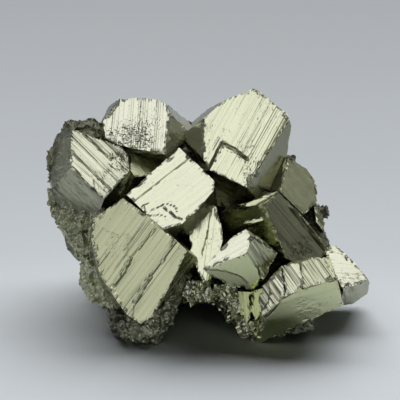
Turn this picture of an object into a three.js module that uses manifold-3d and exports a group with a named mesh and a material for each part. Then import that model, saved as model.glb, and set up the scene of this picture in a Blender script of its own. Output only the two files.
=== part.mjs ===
// Pyrite specimen: striated cubes of pyrite, grown through one another on a granular base of the same mineral.
// The crystals interlock, so the whole cluster is one closed solid. Millimetres, +Z up, the front faces -Y.
// The origin is at the centre of the footprint, on the surface that the cluster stands on.
import * as THREE from "three";
import { ConvexGeometry } from "three/addons/geometries/ConvexGeometry.js";
import { mergeVertices } from "three/addons/utils/BufferGeometryUtils.js";
import Module from "manifold-3d";

// Driving dimensions.
const FLOOR_Z = 0; // the two front feet and the rear base are worn flat here
const RESTING_TRIM = 12; // thickness of the slab that trims them
const FLOOR_SPAN = 140; // its width, wider than the cluster
const WELD = 1e-4; // corners closer than this are one corner

// A crystal with a main face in view. at: middle of that face. facing: its outward normal.
// outline: its corners, counter-clockwise seen from outside, measured to the right and up the slope from the middle.
// flare: how many degrees each side face leans outward behind the matching edge. depth: how far the crystal runs back.
// cuts: further faces [nx, ny, nz, d] that keep n.p <= d.
const CRYSTALS = [
  {
    // upper left block
    at: [-21.12, 7.11, 53.06], facing: [0.074, -0.708, 0.703], depth: 16,
    outline: [[-10.21, 1.37], [-9.91, -4.0], [-5.57, -6.96], [0.21, -8.54], [7.8, -10.16], [10.32, 3.33], [8.83, 7.3], [3.31, 8.83], [-4.79, 8.81]],
    flare: [5.0, 0.0, 0.0, 0.0, 38.0, 30.0, 8.0, 5.0, 26.0],
    cuts: [[-0.915, 0.131, 0.382, 50.91], [-0.69, 0.244, 0.681, 62.76], [0.001, 0.4, 0.916, 59.93], [0.2, 0.401, 0.894, 54.87]],
  },
  {
    // left block
    at: [-31.32, -4.17, 46.5], facing: [-0.047, -0.745, 0.666], depth: 17,
    outline: [[-9.02, -3.99], [1.87, -13.02], [8.72, -4.2], [7.82, 0.87], [5.41, 3.6], [-5.07, 7.58], [-9.71, 9.17]],
    flare: [45.0, 8.0, 8.0, 15.0, 10.0, 10.0, 42.0],
    cuts: [[-0.843, 0.192, 0.502, 63.87], [-0.895, 0.156, 0.418, 62.18], [-0.995, -0.045, -0.095, 43.91], [-0.945, -0.287, -0.154, 39.14], [0.013, 0.32, 0.947, 53.03]],
  },
  {
    // central block
    at: [-7.16, -15.95, 38.68], facing: [0.0, -0.722, 0.692], depth: 22,
    outline: [[-5.89, -10.31], [-0.14, -8.77], [4.48, -4.28], [9.28, 1.98], [9.53, 4.82], [-0.91, 15.83], [-16.35, 0.72]],
    flare: [5.0, 10.0, 10.0, 4.0, 0.0, 0.0, 0.0],
  },
  {
    // lower left block
    at: [-20.7, -26.75, 22.68], facing: [-0.119, -0.897, 0.426], depth: 20,
    outline: [[-13.02, 11.7], [-13.27, 6.18], [-10.14, -4.07], [-1.71, -15.1], [2.83, -17.84], [6.03, -15.36], [8.26, -11.36], [15.0, 4.08], [9.11, 9.09], [1.8, 14.34], [-4.89, 18.35]],
    flare: [15.0, 20.0, 22.0, 12.0, 5.0, 12.0, 22.0, 0.0, 0.0, 0.0, 5.0],
    cuts: [[-0.572, -0.327, -0.752, 20.77], [-0.965, -0.108, -0.237, 33.83]],
  },
  {
    // upper right block
    at: [10.24, 4.4, 51.61], facing: [0.0, -0.722, 0.692], depth: 24,
    outline: [[-4.27, 10.86], [-11.07, 4.47], [-11.05, -9.39], [-9.27, -12.74], [1.75, -18.06], [14.9, 4.13], [14.28, 5.97], [4.74, 14.76]],
    flare: [22.0, 36.0, 3.0, 0.0, 28.0, 8.0, 0.0, 22.0],
    cuts: [[0.99, -0.025, -0.137, 18.31], [-0.327, 0.371, 0.869, 55.91], [-0.242, 0.377, 0.894, 58.15], [-0.57, 0.334, 0.75, 48.45]],
  },
  {
    // block on the upper right one
    at: [8.59, -5.08, 43.74], facing: [0.019, -0.716, 0.698], depth: 14,
    outline: [[-7.65, -1.03], [3.22, -6.67], [5.46, -1.71], [2.9, 2.22], [-3.92, 7.19]],
    flare: [0.0, 0.0, 0.0, 0.0, 36.0],
  },
  {
    // right ridge
    at: [29.31, 0.66, 34.43], facing: [0.436, -0.728, 0.529], depth: 24,
    outline: [[-8.3, 0.84], [-4.51, -4.68], [-2.27, -7.79], [3.46, -5.16], [5.2, -1.2], [5.02, 1.55], [3.33, 5.88], [-1.93, 10.54]],
    flare: [0.0, 0.0, 0.0, 5.0, 5.0, 5.0, 5.0, 20.0],
    cuts: [[-0.556, 0.398, 0.73, 20.89], [-0.992, 0.116, -0.046, -14.2]],
  },
  {
    // right dark block
    at: [25.58, -15.26, 27.07], facing: [0.353, -0.82, 0.451], depth: 22,
    outline: [[-6.2, 2.48], [-4.18, -6.94], [-0.69, -9.16], [8.22, -8.7], [10.64, -6.75], [1.99, 7.19], [-2.11, 12.17], [-7.68, 9.71]],
    flare: [20.0, 5.0, 0.0, 10.0, 22.0, 5.0, 10.0, 25.0],
    cuts: [[0.947, 0.125, 0.295, 40.15]],
  },
  {
    // narrow middle block
    at: [0.27, -16.74, 26.05], facing: [-0.047, -0.745, 0.666], depth: 12,
    outline: [[-2.3, 8.73], [-5.38, 1.15], [-4.78, -5.62], [-0.78, -13.73], [1.51, -12.76], [4.57, -0.75], [4.3, 2.65], [2.43, 9.16], [0.42, 11.16]],
    flare: [10.0, 10.0, 5.0, 5.0, 5.0, 5.0, 0.0, 0.0, 5.0],
  },
  {
    // cube standing out in front
    at: [8.02, -31.0, 20.12], facing: [0.232, -0.968, -0.1], depth: 20,
    outline: [[-6.76, 0.36], [-1.34, -3.11], [5.3, -5.41], [9.04, -2.18], [3.22, 7.19], [-9.46, 3.15]],
    flare: [0.0, 0.0, 0.0, 50.0, 38.7, 0.0],
    cuts: [[-0.732, 0.289, 0.617, 5.78], [-0.464, 0.364, 0.807, 11.7], [0.527, 0.319, 0.788, 23.33], [0.666, 0.271, 0.695, 23.93], [0.965, 0.053, 0.256, 25.0], [0.982, -0.13, -0.14, 21.29]],
  },
  {
    // lower right block
    at: [22.94, -33.97, 10.1], facing: [0.088, -0.992, -0.095], depth: 24,
    outline: [[-8.76, -10.75], [-6.6, -9.82], [16.48, 1.69], [14.05, 10.3], [4.32, 7.76], [-0.6, 5.39], [-3.87, 2.64], [-7.14, -1.59], [-7.88, -5.63]],
    flare: [0.0, 0.0, 0.0, 3.0, 3.0, 3.0, 5.0, 10.0, 15.0],
    cuts: [[-0.71, 0.334, 0.62, -10.91], [-0.227, 0.42, 0.878, 3.09], [0.0, 0.414, 0.91, 10.97], [-0.944, 0.181, 0.276, -15.76]],
  },
  {
    // far right block
    at: [40.84, -18.41, 16.61], facing: [0.073, -0.702, 0.708], depth: 16,
    outline: [[-5.54, 3.65], [-4.4, 0.44], [-1.28, -6.28], [2.72, -5.23], [6.72, -3.7], [4.2, 0.54], [1.03, 4.49], [-3.46, 6.09]],
    flare: [0.0, 20.0, 35.0, 25.0, 6.0, 6.0, 0.0, 0.0],
    cuts: [[0.99, -0.118, -0.078, 49.12], [0.584, -0.374, -0.72, 28.79], [0.129, -0.408, -0.904, 8.61]],
  },
  {
    // chip on the far right block
    at: [38.37, -14.07, 19.36], facing: [0.028, -0.704, 0.71], depth: 10,
    outline: [[-1.87, -3.71], [2.98, -2.53], [3.16, 0.01], [0.66, 2.83], [-1.57, 2.65], [-3.37, 0.76]],
    flare: [0.0, 0.0, 0.0, 0.0, 0.0, 0.0],
  },
  {
    // wedge below the upper blocks
    at: [11.67, -5.32, 30.35], facing: [-0.094, -0.994, 0.047], depth: 14,
    outline: [[-3.98, -2.43], [-0.63, -4.23], [5.04, -0.8], [7.33, 4.38], [-1.33, 2.08], [-6.44, 1.0]],
    flare: [0.0, 0.0, 0.0, 45.0, 35.0, 0.0],
    cuts: [[-0.124, 0.376, 0.918, 26.97], [-0.41, 0.357, 0.839, 20.17]],
  },
  {
    // wedge above the cube
    at: [15.74, -11.3, 26.21], facing: [-0.048, -0.995, 0.092], depth: 14,
    outline: [[-3.99, -0.59], [-0.38, -2.71], [4.42, -4.19], [3.73, 0.5], [1.9, 3.12], [-0.77, 2.6], [-4.91, 1.27]],
    flare: [0.0, 0.0, 0.0, 20.0, 45.0, 45.0, 0.0],
    cuts: [[-0.34, 0.377, 0.862, 16.74], [-0.042, 0.387, 0.921, 22.96]],
  },
  {
    // facet beside the right foot
    at: [14.18, -31.77, 11.58], facing: [-0.325, -0.929, 0.175], depth: 12,
    outline: [[-1.74, -1.4], [-0.25, -5.39], [2.19, -1.69], [1.56, 5.09], [-1.77, 3.4]],
    flare: [0.0, 0.0, 0.0, 0.0, 0.0],
  },
  {
    // prism beside the right foot
    at: [11.04, -30.77, 10.06], facing: [-0.146, -0.972, 0.184], depth: 12,
    outline: [[-1.4, -1.47], [0.46, -4.95], [1.85, -3.04], [1.58, 4.72], [-2.48, 4.74]],
    flare: [0.0, 0.0, 0.0, 0.0, 0.0],
  },
  {
    // stepped top of the lower right block
    at: [17.95, -32.56, 15.49], facing: [-0.27, -0.706, 0.654], depth: 6,
    outline: [[-0.43, -7.35], [4.94, -0.11], [1.46, 8.62], [-2.91, 1.39], [-3.05, -2.55]],
    flare: [0.0, 0.0, 0.0, 0.0, 0.0],
  },
  {
    // middle step of its top
    at: [24.51, -31.65, 19.88], facing: [-0.148, -0.723, 0.675], depth: 6,
    outline: [[-1.42, -5.82], [3.65, -2.53], [1.54, 4.94], [-3.77, 3.41]],
    flare: [0.0, 0.0, 0.0, 0.0],
  },
  {
    // striated top of the lower right block
    at: [31.99, -31.86, 22.3], facing: [-0.037, -0.721, 0.692], depth: 6,
    outline: [[-4.58, -5.47], [5.1, -2.56], [5.44, -1.96], [1.33, 3.81], [-1.8, 3.74], [-5.49, 2.45]],
    flare: [0.0, 0.0, 0.0, 0.0, 0.0, 0.0],
  },
  {
    // bright step on the right ridge
    at: [23.65, -2.66, 40.94], facing: [0.046, -0.721, 0.691], depth: 3,
    outline: [[-1.13, -1.33], [1.65, -0.26], [1.0, 1.12], [-1.52, 0.47]],
    flare: [0.0, 0.0, 0.0, 0.0],
  },
  {
    // bright crest of the upper wedge
    at: [16.04, -10.65, 35.31], facing: [-0.028, -0.721, 0.692], depth: 4,
    outline: [[-4.07, -2.02], [-0.54, -1.59], [2.99, -0.13], [5.93, 1.92], [5.34, 3.09], [-2.62, 0.29], [-7.03, -1.56]],
    flare: [0.0, 0.0, 0.0, 0.0, 0.0, 0.0, 0.0],
  },
  {
    // bright crest of the lower wedge
    at: [14.44, -14.38, 30.35], facing: [-0.028, -0.721, 0.692], depth: 4,
    outline: [[-1.36, -0.97], [1.86, -0.1], [3.18, 0.87], [1.56, 1.16], [-1.38, 0.17], [-3.86, -1.13]],
    flare: [0.0, 0.0, 0.0, 0.0, 0.0, 0.0],
  },
  {
    // chip on the right ridge
    at: [34.64, -1.86, 25.56], facing: [0.259, -0.639, 0.724], depth: 10,
    outline: [[-1.67, -0.72], [-0.24, -4.0], [1.33, -1.38], [1.14, 1.54], [-0.56, 4.55]],
    flare: [0.0, 0.0, 0.0, 0.0, 0.0],
  },
];

// Blocky crystals at the back and underneath: middle, edge lengths, and turns about X, Y and Z in degrees.
const BLOCKS = [
  { at: [-22.95, 9.75, 35.0], size: [22, 24, 21], turn: [24, 12, 38] },
  { at: [7.04, 14.75, 33.5], size: [22, 22, 21], turn: [-18, 20, 18] },
  { at: [-5.96, 19.75, 22.0], size: [20, 19, 22], turn: [35, -10, 20] },
  { at: [22.05, 6.75, 20.0], size: [20, 18, 19], turn: [12, 30, -25] },
  { at: [-26.95, 1.75, 17.0], size: [16, 16, 15], turn: [-20, 25, 40] },
  { at: [6.04, 16.75, 9.0], size: [20, 21, 19], turn: [10, -28, 55] },
  { at: [-18.95, 11.75, 9.0], size: [21, 17, 18], turn: [-15, 18, 12] },
  { at: [20.05, 18.75, 28.0], size: [12, 13, 12], turn: [30, 40, 10] },
  { at: [-15.96, 24.75, 32.0], size: [11, 12, 11], turn: [15, -35, 40] },
  { at: [-33.95, 12.75, 26.0], size: [12, 11, 13], turn: [40, 10, 15] },
];

// Lumps of granular matrix that the crystals grow from, each given by its outermost points.
const LUMPS = [
  [[-42.96, 11.17, 52.48], [-46.72, 6.59, 46.48], [-48.58, 4.28, 43.44], [-47.71, 0.73, 37.32], [-31.33, 10.88, 51.77], [-30.75, -5.25, 33.2], [-42.85, 27.96, 45.97], [-47.75, 27.4, 33.92], [-33.9, 27.24, 44.2], [-45.84, 18.2, 27.16], [-30.57, 18.2, 27.16]],
  [[-47.71, -0.4, 34.51], [-47.9, -3.03, 30.67], [-47.48, -4.63, 29.38], [-43.74, -10.12, 26.48], [-40.56, -13.52, 23.41], [-36.91, -16.98, 17.49], [-31.66, -8.95, 34.7], [-28.28, -18.9, 26.1], [-45.63, 15.15, 24.96], [-40.2, 6.75, 14.83], [-33.0, 0.76, 10.68], [-30.44, 15.15, 24.96]],
  [[-37.59, -15.96, 17.35], [-37.8, -18.76, 13.1], [-35.35, -20.88, 10.52], [-34.38, -22.78, 8.49], [-26.75, -28.34, 5.4], [-22.32, -28.58, 7.48], [-16.66, -25.88, 3.49], [-31.2, -20.0, 23.39], [-22.53, -18.17, 22.57], [-35.16, -4.27, 8.93], [-26.07, -15.59, 2.26], [-17.03, -15.25, 3.1], [-33.08, 1.67, 10.27]],
  [[-27.27, -29.02, 6.4], [-26.88, -31.77, 3.59], [-25.11, -32.87, 2.21], [-21.01, -34.84, 0.0], [-14.95, -35.05, -0.54], [-12.14, -31.09, 1.27], [-8.39, -25.47, 9.83], [-9.06, -27.29, 5.32], [-10.34, -29.63, 11.56], [-10.46, -30.74, 11.47], [-13.16, -32.81, 10.35], [-6.09, -19.66, 13.53], [-25.71, -21.19, 4.41], [-13.89, -20.52, 0.74], [-18.16, -34.99, 6.29], [-16.6, -35.64, 3.35], [-22.32, -32.18, -1.43]],
  [[-29.49, 7.33, 42.97], [-8.1, 10.94, 46.56], [-5.06, 15.3, 46.67], [2.72, 13.1, 35.88], [13.72, 12.62, 29.36], [4.71, -8.57, 14.28], [-6.11, -20.08, 7.16], [1.02, -19.18, 6.72], [-16.88, -16.49, 10.7], [-25.84, -10.45, 25.65], [-28.28, 29.13, 43.54], [-0.34, 31.27, 43.49], [10.19, -9.94, 8.23], [-17.4, -2.92, 6.93], [15.58, 19.13, 26.79], [-27.75, 22.57, 21.96], [7.54, 6.85, 4.42]],
  [[15.2, 11.34, 31.55], [29.09, 10.06, 33.71], [34.11, 4.38, 27.65], [36.2, -1.73, 23.22], [37.34, -8.12, 18.06], [39.55, -14.23, 8.29], [37.05, -16.26, 5.94], [16.37, -23.87, 3.12], [13.33, -22.57, 11.66], [10.16, -7.21, 17.65], [25.05, -12.21, 15.95], [29.5, 22.52, 27.18], [35.39, 10.41, 13.22], [36.11, -0.34, 2.62], [14.96, -7.49, 0.94]],
  [[17.45, -27.97, -1.69], [21.38, -30.14, 0.94], [24.17, -31.81, 2.14], [26.49, -31.87, 2.01], [29.1, -31.16, 3.76], [30.76, -31.24, 6.23], [28.56, -29.14, 7.43], [24.23, -29.02, 6.4], [20.04, -27.65, 1.77], [25.37, -22.86, 0.28], [23.29, -23.53, -1.38]],
  [[-7.82, -22.49, 14.55], [-7.56, -22.94, 6.77], [1.88, -22.68, 7.4], [0.98, -22.49, 14.55], [-4.99, -9.14, 10.2], [2.58, -12.09, 8.26]],
  [[1.84, -24.62, 14.6], [8.52, -25.64, 14.76], [8.84, -28.01, 6.21], [5.68, -25.23, 6.44], [10.01, -29.32, 2.97], [1.29, -22.89, 8.22], [11.54, -16.48, 5.38], [2.54, -15.36, 8.17], [12.27, -31.98, 1.74], [13.72, -33.39, -1.76], [12.08, -30.4, -2.38], [10.91, -29.64, -0.48], [14.88, -30.89, 4.43]],
  [[-13.96, -1.25, 0.0], [-16.95, 6.75, 0.0], [-10.96, 19.75, 0.0], [2.04, 22.75, 0.0], [12.04, 14.75, 0.0], [11.04, -0.25, 0.0], [-19.95, -4.25, 6.0], [-28.95, 4.75, 6.0], [-19.95, 22.75, 6.0], [4.04, 28.75, 6.0], [21.05, 18.75, 6.0], [21.05, -1.25, 6.0], [12.04, -5.25, 6.0], [-32.95, 4.75, 18.0], [-25.95, 20.75, 22.0], [8.04, 28.75, 20.0], [30.05, 14.75, 20.0], [31.05, -3.25, 20.0], [14.04, -10.25, 14.0], [-21.95, -10.25, 14.0]],
  [[-35.95, -5.25, 22.0], [-31.95, 16.75, 36.0], [-11.96, 24.75, 40.0], [18.05, 24.75, 42.0], [31.05, 4.75, 34.0], [28.05, -0.25, 20.0], [-19.95, -2.25, 12.0], [-13.96, 6.75, 45.0], [10.04, 9.75, 46.0], [-1.96, 24.75, 10.0]],
];

// Small crystals standing half out of the matrix: x, y, z, edge length, and turns about X, Y and Z in degrees.
const KNOBS = [
  [-35.03, 18.48, 29.39, 6.8, 35, 24, -24],
  [-24.65, 26.23, 29.72, 5.4, 33, -44, 28],
  [10.17, 24.3, 13.64, 7.6, -2, -17, -19],
  [-8.91, 24.13, 9.41, 5.1, -4, 0, 4],
  [-21.0, 20.48, 16.44, 6.8, 44, -25, -30],
  [18.87, 20.87, 7.97, 4.2, -41, 1, -3],
  [-28.44, 16.38, 9.36, 6.8, 1, 0, -22],
  [-27.91, 16.38, 28.07, 4.1, -27, 17, -26],
  [29.2, 0.14, 6.73, 5.7, -44, 29, -31],
  [4.03, 30.46, 6.77, 5.2, 34, 0, 31],
  [-11.39, 26.46, 35.84, 6.4, 0, 33, -12],
  [-32.92, 1.45, 9.52, 6.7, -39, -10, -15],
  [-2.63, 28.84, 27.19, 4.7, 28, -10, 43],
  [15.5, 21.43, 27.4, 6.9, 15, -31, -5],
  [-17.0, 29.96, 35.09, 5.1, -8, -36, 42],
  [-10.64, 28.21, 21.19, 8.3, 36, 6, -31],
  [7.0, 27.51, 38.0, 4.9, 38, 4, -28],
  [-35.05, 22.68, 37.58, 6.9, 6, -11, -8],
  [10.73, 23.95, 4.89, 7.9, -2, 4, -16],
  [-0.86, 28.07, 39.9, 4.1, -33, 42, 14],
  [-41.06, 17.06, 25.54, 6.4, 33, -14, 8],
  [34.48, 1.42, 19.77, 3.3, 28, -43, 11],
  [33.53, 6.53, 12.38, 7.3, -24, -27, -12],
  [8.02, 25.6, 31.44, 5.6, 40, 6, -14],
  [-25.32, -28.89, 4.62, 6.0, 43, 1, 1],
  [-16.47, 18.64, 3.42, 5.9, 34, -7, 38],
  [-25.26, -9.06, 6.7, 4.3, -6, 1, 40],
  [33.44, 8.41, 18.08, 3.0, 27, 15, 19],
  [22.8, -4.94, 3.14, 4.9, -40, -25, 37],
  [5.07, 23.67, 22.21, 4.5, 9, -1, 8],
  [31.31, 10.19, 23.63, 4.1, -3, 11, 12],
  [26.14, 14.73, 17.44, 7.7, 20, -34, 37],
  [23.68, 25.29, 24.84, 4.8, 6, -41, 8],
  [-21.94, 22.01, 24.76, 4.9, 6, -41, 27],
  [-42.66, 24.98, 35.29, 4.5, 11, 26, -16],
  [-6.05, 22.94, 4.05, 4.9, 6, 12, 9],
  [30.77, 13.88, 10.43, 7.0, 11, 29, 27],
  [17.43, 20.76, 14.61, 4.7, -42, 13, -25],
  [-37.75, 25.93, 44.43, 6.5, 40, -10, -22],
  [-4.98, 29.65, 43.14, 4.6, 14, 29, -11],
  [-22.57, 27.71, 43.37, 7.2, -36, 20, 24],
  [-29.95, 8.57, 17.94, 7.8, 3, -10, 4],
  [24.34, 12.34, 37.38, 5.7, -32, 23, 44],
  [-30.5, -8.61, 7.23, 4.7, 19, 29, 37],
  [0.33, 26.15, 12.05, 5.4, -16, 19, -4],
  [35.99, 7.16, 24.01, 4.0, -1, -28, 15],
  [28.53, 17.85, 24.22, 4.3, -23, -3, 34],
  [-41.26, 9.37, 20.67, 7.1, 30, -14, 15],
  [31.55, 6.44, 27.4, 3.8, -37, 5, 5],
  [24.11, 6.9, 10.15, 7.6, -3, 10, 28],
  [-18.27, 28.95, 28.97, 5.7, 31, 25, -4],
  [-21.06, 20.19, 9.06, 4.2, -9, 32, 7],
  [-29.98, 16.08, 19.98, 4.9, -7, 29, 29],
  [21.05, 19.25, 20.02, 4.3, 16, -22, 12],
  [-1.43, 25.82, 3.34, 4.8, 10, -8, -7],
  [-25.97, 26.22, 36.9, 4.2, 14, 9, 24],
  [31.99, 12.67, 18.36, 3.6, 14, 16, 6],
  [-16.26, 22.42, 9.68, 4.6, -28, -17, -4],
  [22.43, 21.94, 33.86, 4.0, 25, -22, -32],
  [-0.68, 31.62, 17.95, 4.5, 1, -41, 4],
  [27.51, -29.06, 4.52, 5.8, -20, -11, 3],
  [11.38, 24.68, 23.33, 4.6, -3, -12, 7],
  [-10.4, 27.89, 30.35, 4.3, -22, -43, 3],
  [-43.2, 21.15, 30.63, 4.4, -34, 22, -4],
];

const wasm = await Module();
wasm.setup();

function solidOf(geometry) {
  geometry.deleteAttribute("normal");
  geometry.deleteAttribute("uv");
  const merged = mergeVertices(geometry, WELD);
  return new wasm.Manifold(
    new wasm.Mesh({
      numProp: 3,
      vertProperties: new Float32Array(merged.attributes.position.array),
      triVerts: new Uint32Array(merged.index.array),
    }),
  );
}

// The corners of the convex body that a list of planes { n, d } bounds: each is where three planes meet inside all the others.
function cornersOf(planes) {
  const corners = [];
  const at = new THREE.Vector3();
  const matrix = new THREE.Matrix3();
  for (let i = 0; i < planes.length; i++)
    for (let j = i + 1; j < planes.length; j++)
      for (let k = j + 1; k < planes.length; k++) {
        const [a, b, c] = [planes[i], planes[j], planes[k]];
        matrix.set(a.n.x, a.n.y, a.n.z, b.n.x, b.n.y, b.n.z, c.n.x, c.n.y, c.n.z);
        if (Math.abs(matrix.determinant()) < 1e-4) continue;
        at.set(a.d, b.d, c.d).applyMatrix3(matrix.invert());
        if (planes.some((p) => p.n.dot(at) > p.d + 1e-4)) continue;
        if (corners.some((p) => p.distanceTo(at) < 0.02)) continue;
        corners.push(at.clone());
      }
  return corners;
}

function crystal({ at, facing, outline, flare, depth, cuts = [] }) {
  const middle = new THREE.Vector3(...at);
  const normal = new THREE.Vector3(...facing).normalize();
  const up = new THREE.Vector3(0, 0, 1).addScaledVector(normal, -normal.z).normalize();
  const right = new THREE.Vector3().crossVectors(up, normal);
  const corner = ([u, v]) => middle.clone().addScaledVector(right, u).addScaledVector(up, v);
  const front = normal.dot(middle);
  const planes = [
    { n: normal, d: front },
    { n: normal.clone().negate(), d: depth - front },
  ];
  outline.forEach((from, i) => {
    const a = corner(from);
    const b = corner(outline[(i + 1) % outline.length]);
    const along = b.clone().sub(a).normalize();
    const outward = new THREE.Vector3().crossVectors(along, normal);
    const lean = THREE.MathUtils.degToRad(flare[i]);
    const n = outward.multiplyScalar(Math.cos(lean)).addScaledVector(normal, Math.sin(lean));
    planes.push({ n, d: n.dot(a) });
  });
  for (const [x, y, z, d] of cuts) planes.push({ n: new THREE.Vector3(x, y, z), d });
  return solidOf(new ConvexGeometry(cornersOf(planes)));
}

function block({ at, size, turn }) {
  const angles = turn.map((t) => THREE.MathUtils.degToRad(t));
  const geometry = new THREE.BoxGeometry(...size);
  geometry.applyMatrix4(
    new THREE.Matrix4().makeRotationFromEuler(new THREE.Euler(...angles, "ZYX")).setPosition(...at),
  );
  return solidOf(geometry);
}

const lump = (points) => solidOf(new ConvexGeometry(points.map((p) => new THREE.Vector3(...p))));

const pieces = [
  ...LUMPS.map(lump),
  ...BLOCKS.map(block),
  ...KNOBS.map(([x, y, z, edge, ...turn]) => block({ at: [x, y, z], size: [edge, edge, edge], turn })),
  ...CRYSTALS.map(crystal),
];
const ground = block({
  at: [0, 0, FLOOR_Z - RESTING_TRIM / 2],
  size: [FLOOR_SPAN, FLOOR_SPAN, RESTING_TRIM],
  turn: [0, 0, 0],
});
let cluster = pieces.reduce((whole, piece) => whole.add(piece)).subtract(ground);

// Crumbs that the trim leaves loose are dropped.
cluster = cluster.decompose().reduce((most, body) => (body.volume() > most.volume() ? body : most));

function geometryOf(solid) {
  const mesh = solid.getMesh();
  const corners = new Float32Array(mesh.numVert * 3);
  for (let i = 0; i < mesh.numVert; i++)
    corners.set(mesh.vertProperties.subarray(i * mesh.numProp, i * mesh.numProp + 3), i * 3);
  const geometry = new THREE.BufferGeometry();
  geometry.setAttribute("position", new THREE.BufferAttribute(corners, 3));
  geometry.setIndex(new THREE.BufferAttribute(new Uint32Array(mesh.triVerts), 1));
  geometry.computeVertexNormals();
  return geometry;
}

const pyrite = new THREE.MeshStandardMaterial({
  color: new THREE.Color().setRGB(0.62, 0.61, 0.4),
  metalness: 1,
  roughness: 0.28,
  flatShading: true,
});
const specimen = new THREE.Group();
const body = new THREE.Mesh(geometryOf(cluster), pyrite);
body.name = "pyrite_cluster";
specimen.add(body);

export default specimen;
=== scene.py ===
"""Pyrite specimen: striated crystals grown through one another on a granular base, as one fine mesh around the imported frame."""
import itertools
import math
import time

import bmesh
import bpy
import numpy as np
from mathutils import Matrix, Vector
from mathutils.bvhtree import BVHTree


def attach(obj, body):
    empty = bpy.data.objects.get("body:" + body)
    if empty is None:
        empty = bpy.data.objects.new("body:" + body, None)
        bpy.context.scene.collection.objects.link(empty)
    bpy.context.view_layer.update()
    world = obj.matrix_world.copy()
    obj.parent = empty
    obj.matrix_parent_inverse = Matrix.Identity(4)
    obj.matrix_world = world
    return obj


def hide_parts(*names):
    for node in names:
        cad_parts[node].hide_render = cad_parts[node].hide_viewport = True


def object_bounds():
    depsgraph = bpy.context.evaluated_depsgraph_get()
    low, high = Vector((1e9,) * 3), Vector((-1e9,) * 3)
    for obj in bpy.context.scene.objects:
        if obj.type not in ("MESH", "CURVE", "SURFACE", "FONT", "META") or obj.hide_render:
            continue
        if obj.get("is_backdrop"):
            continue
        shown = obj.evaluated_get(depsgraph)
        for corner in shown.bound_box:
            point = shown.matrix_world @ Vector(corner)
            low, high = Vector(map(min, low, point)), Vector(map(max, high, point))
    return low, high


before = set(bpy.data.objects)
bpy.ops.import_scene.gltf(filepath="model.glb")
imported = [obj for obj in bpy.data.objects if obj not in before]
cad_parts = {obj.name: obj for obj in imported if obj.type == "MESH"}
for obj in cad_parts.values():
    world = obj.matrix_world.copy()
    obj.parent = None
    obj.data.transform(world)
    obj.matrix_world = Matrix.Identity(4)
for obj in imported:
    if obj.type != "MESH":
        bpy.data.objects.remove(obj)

START = time.time()
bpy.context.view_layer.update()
MM = 0.001  # the tables below are in millimetres, and the mesh is scaled to metres at the end

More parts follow.
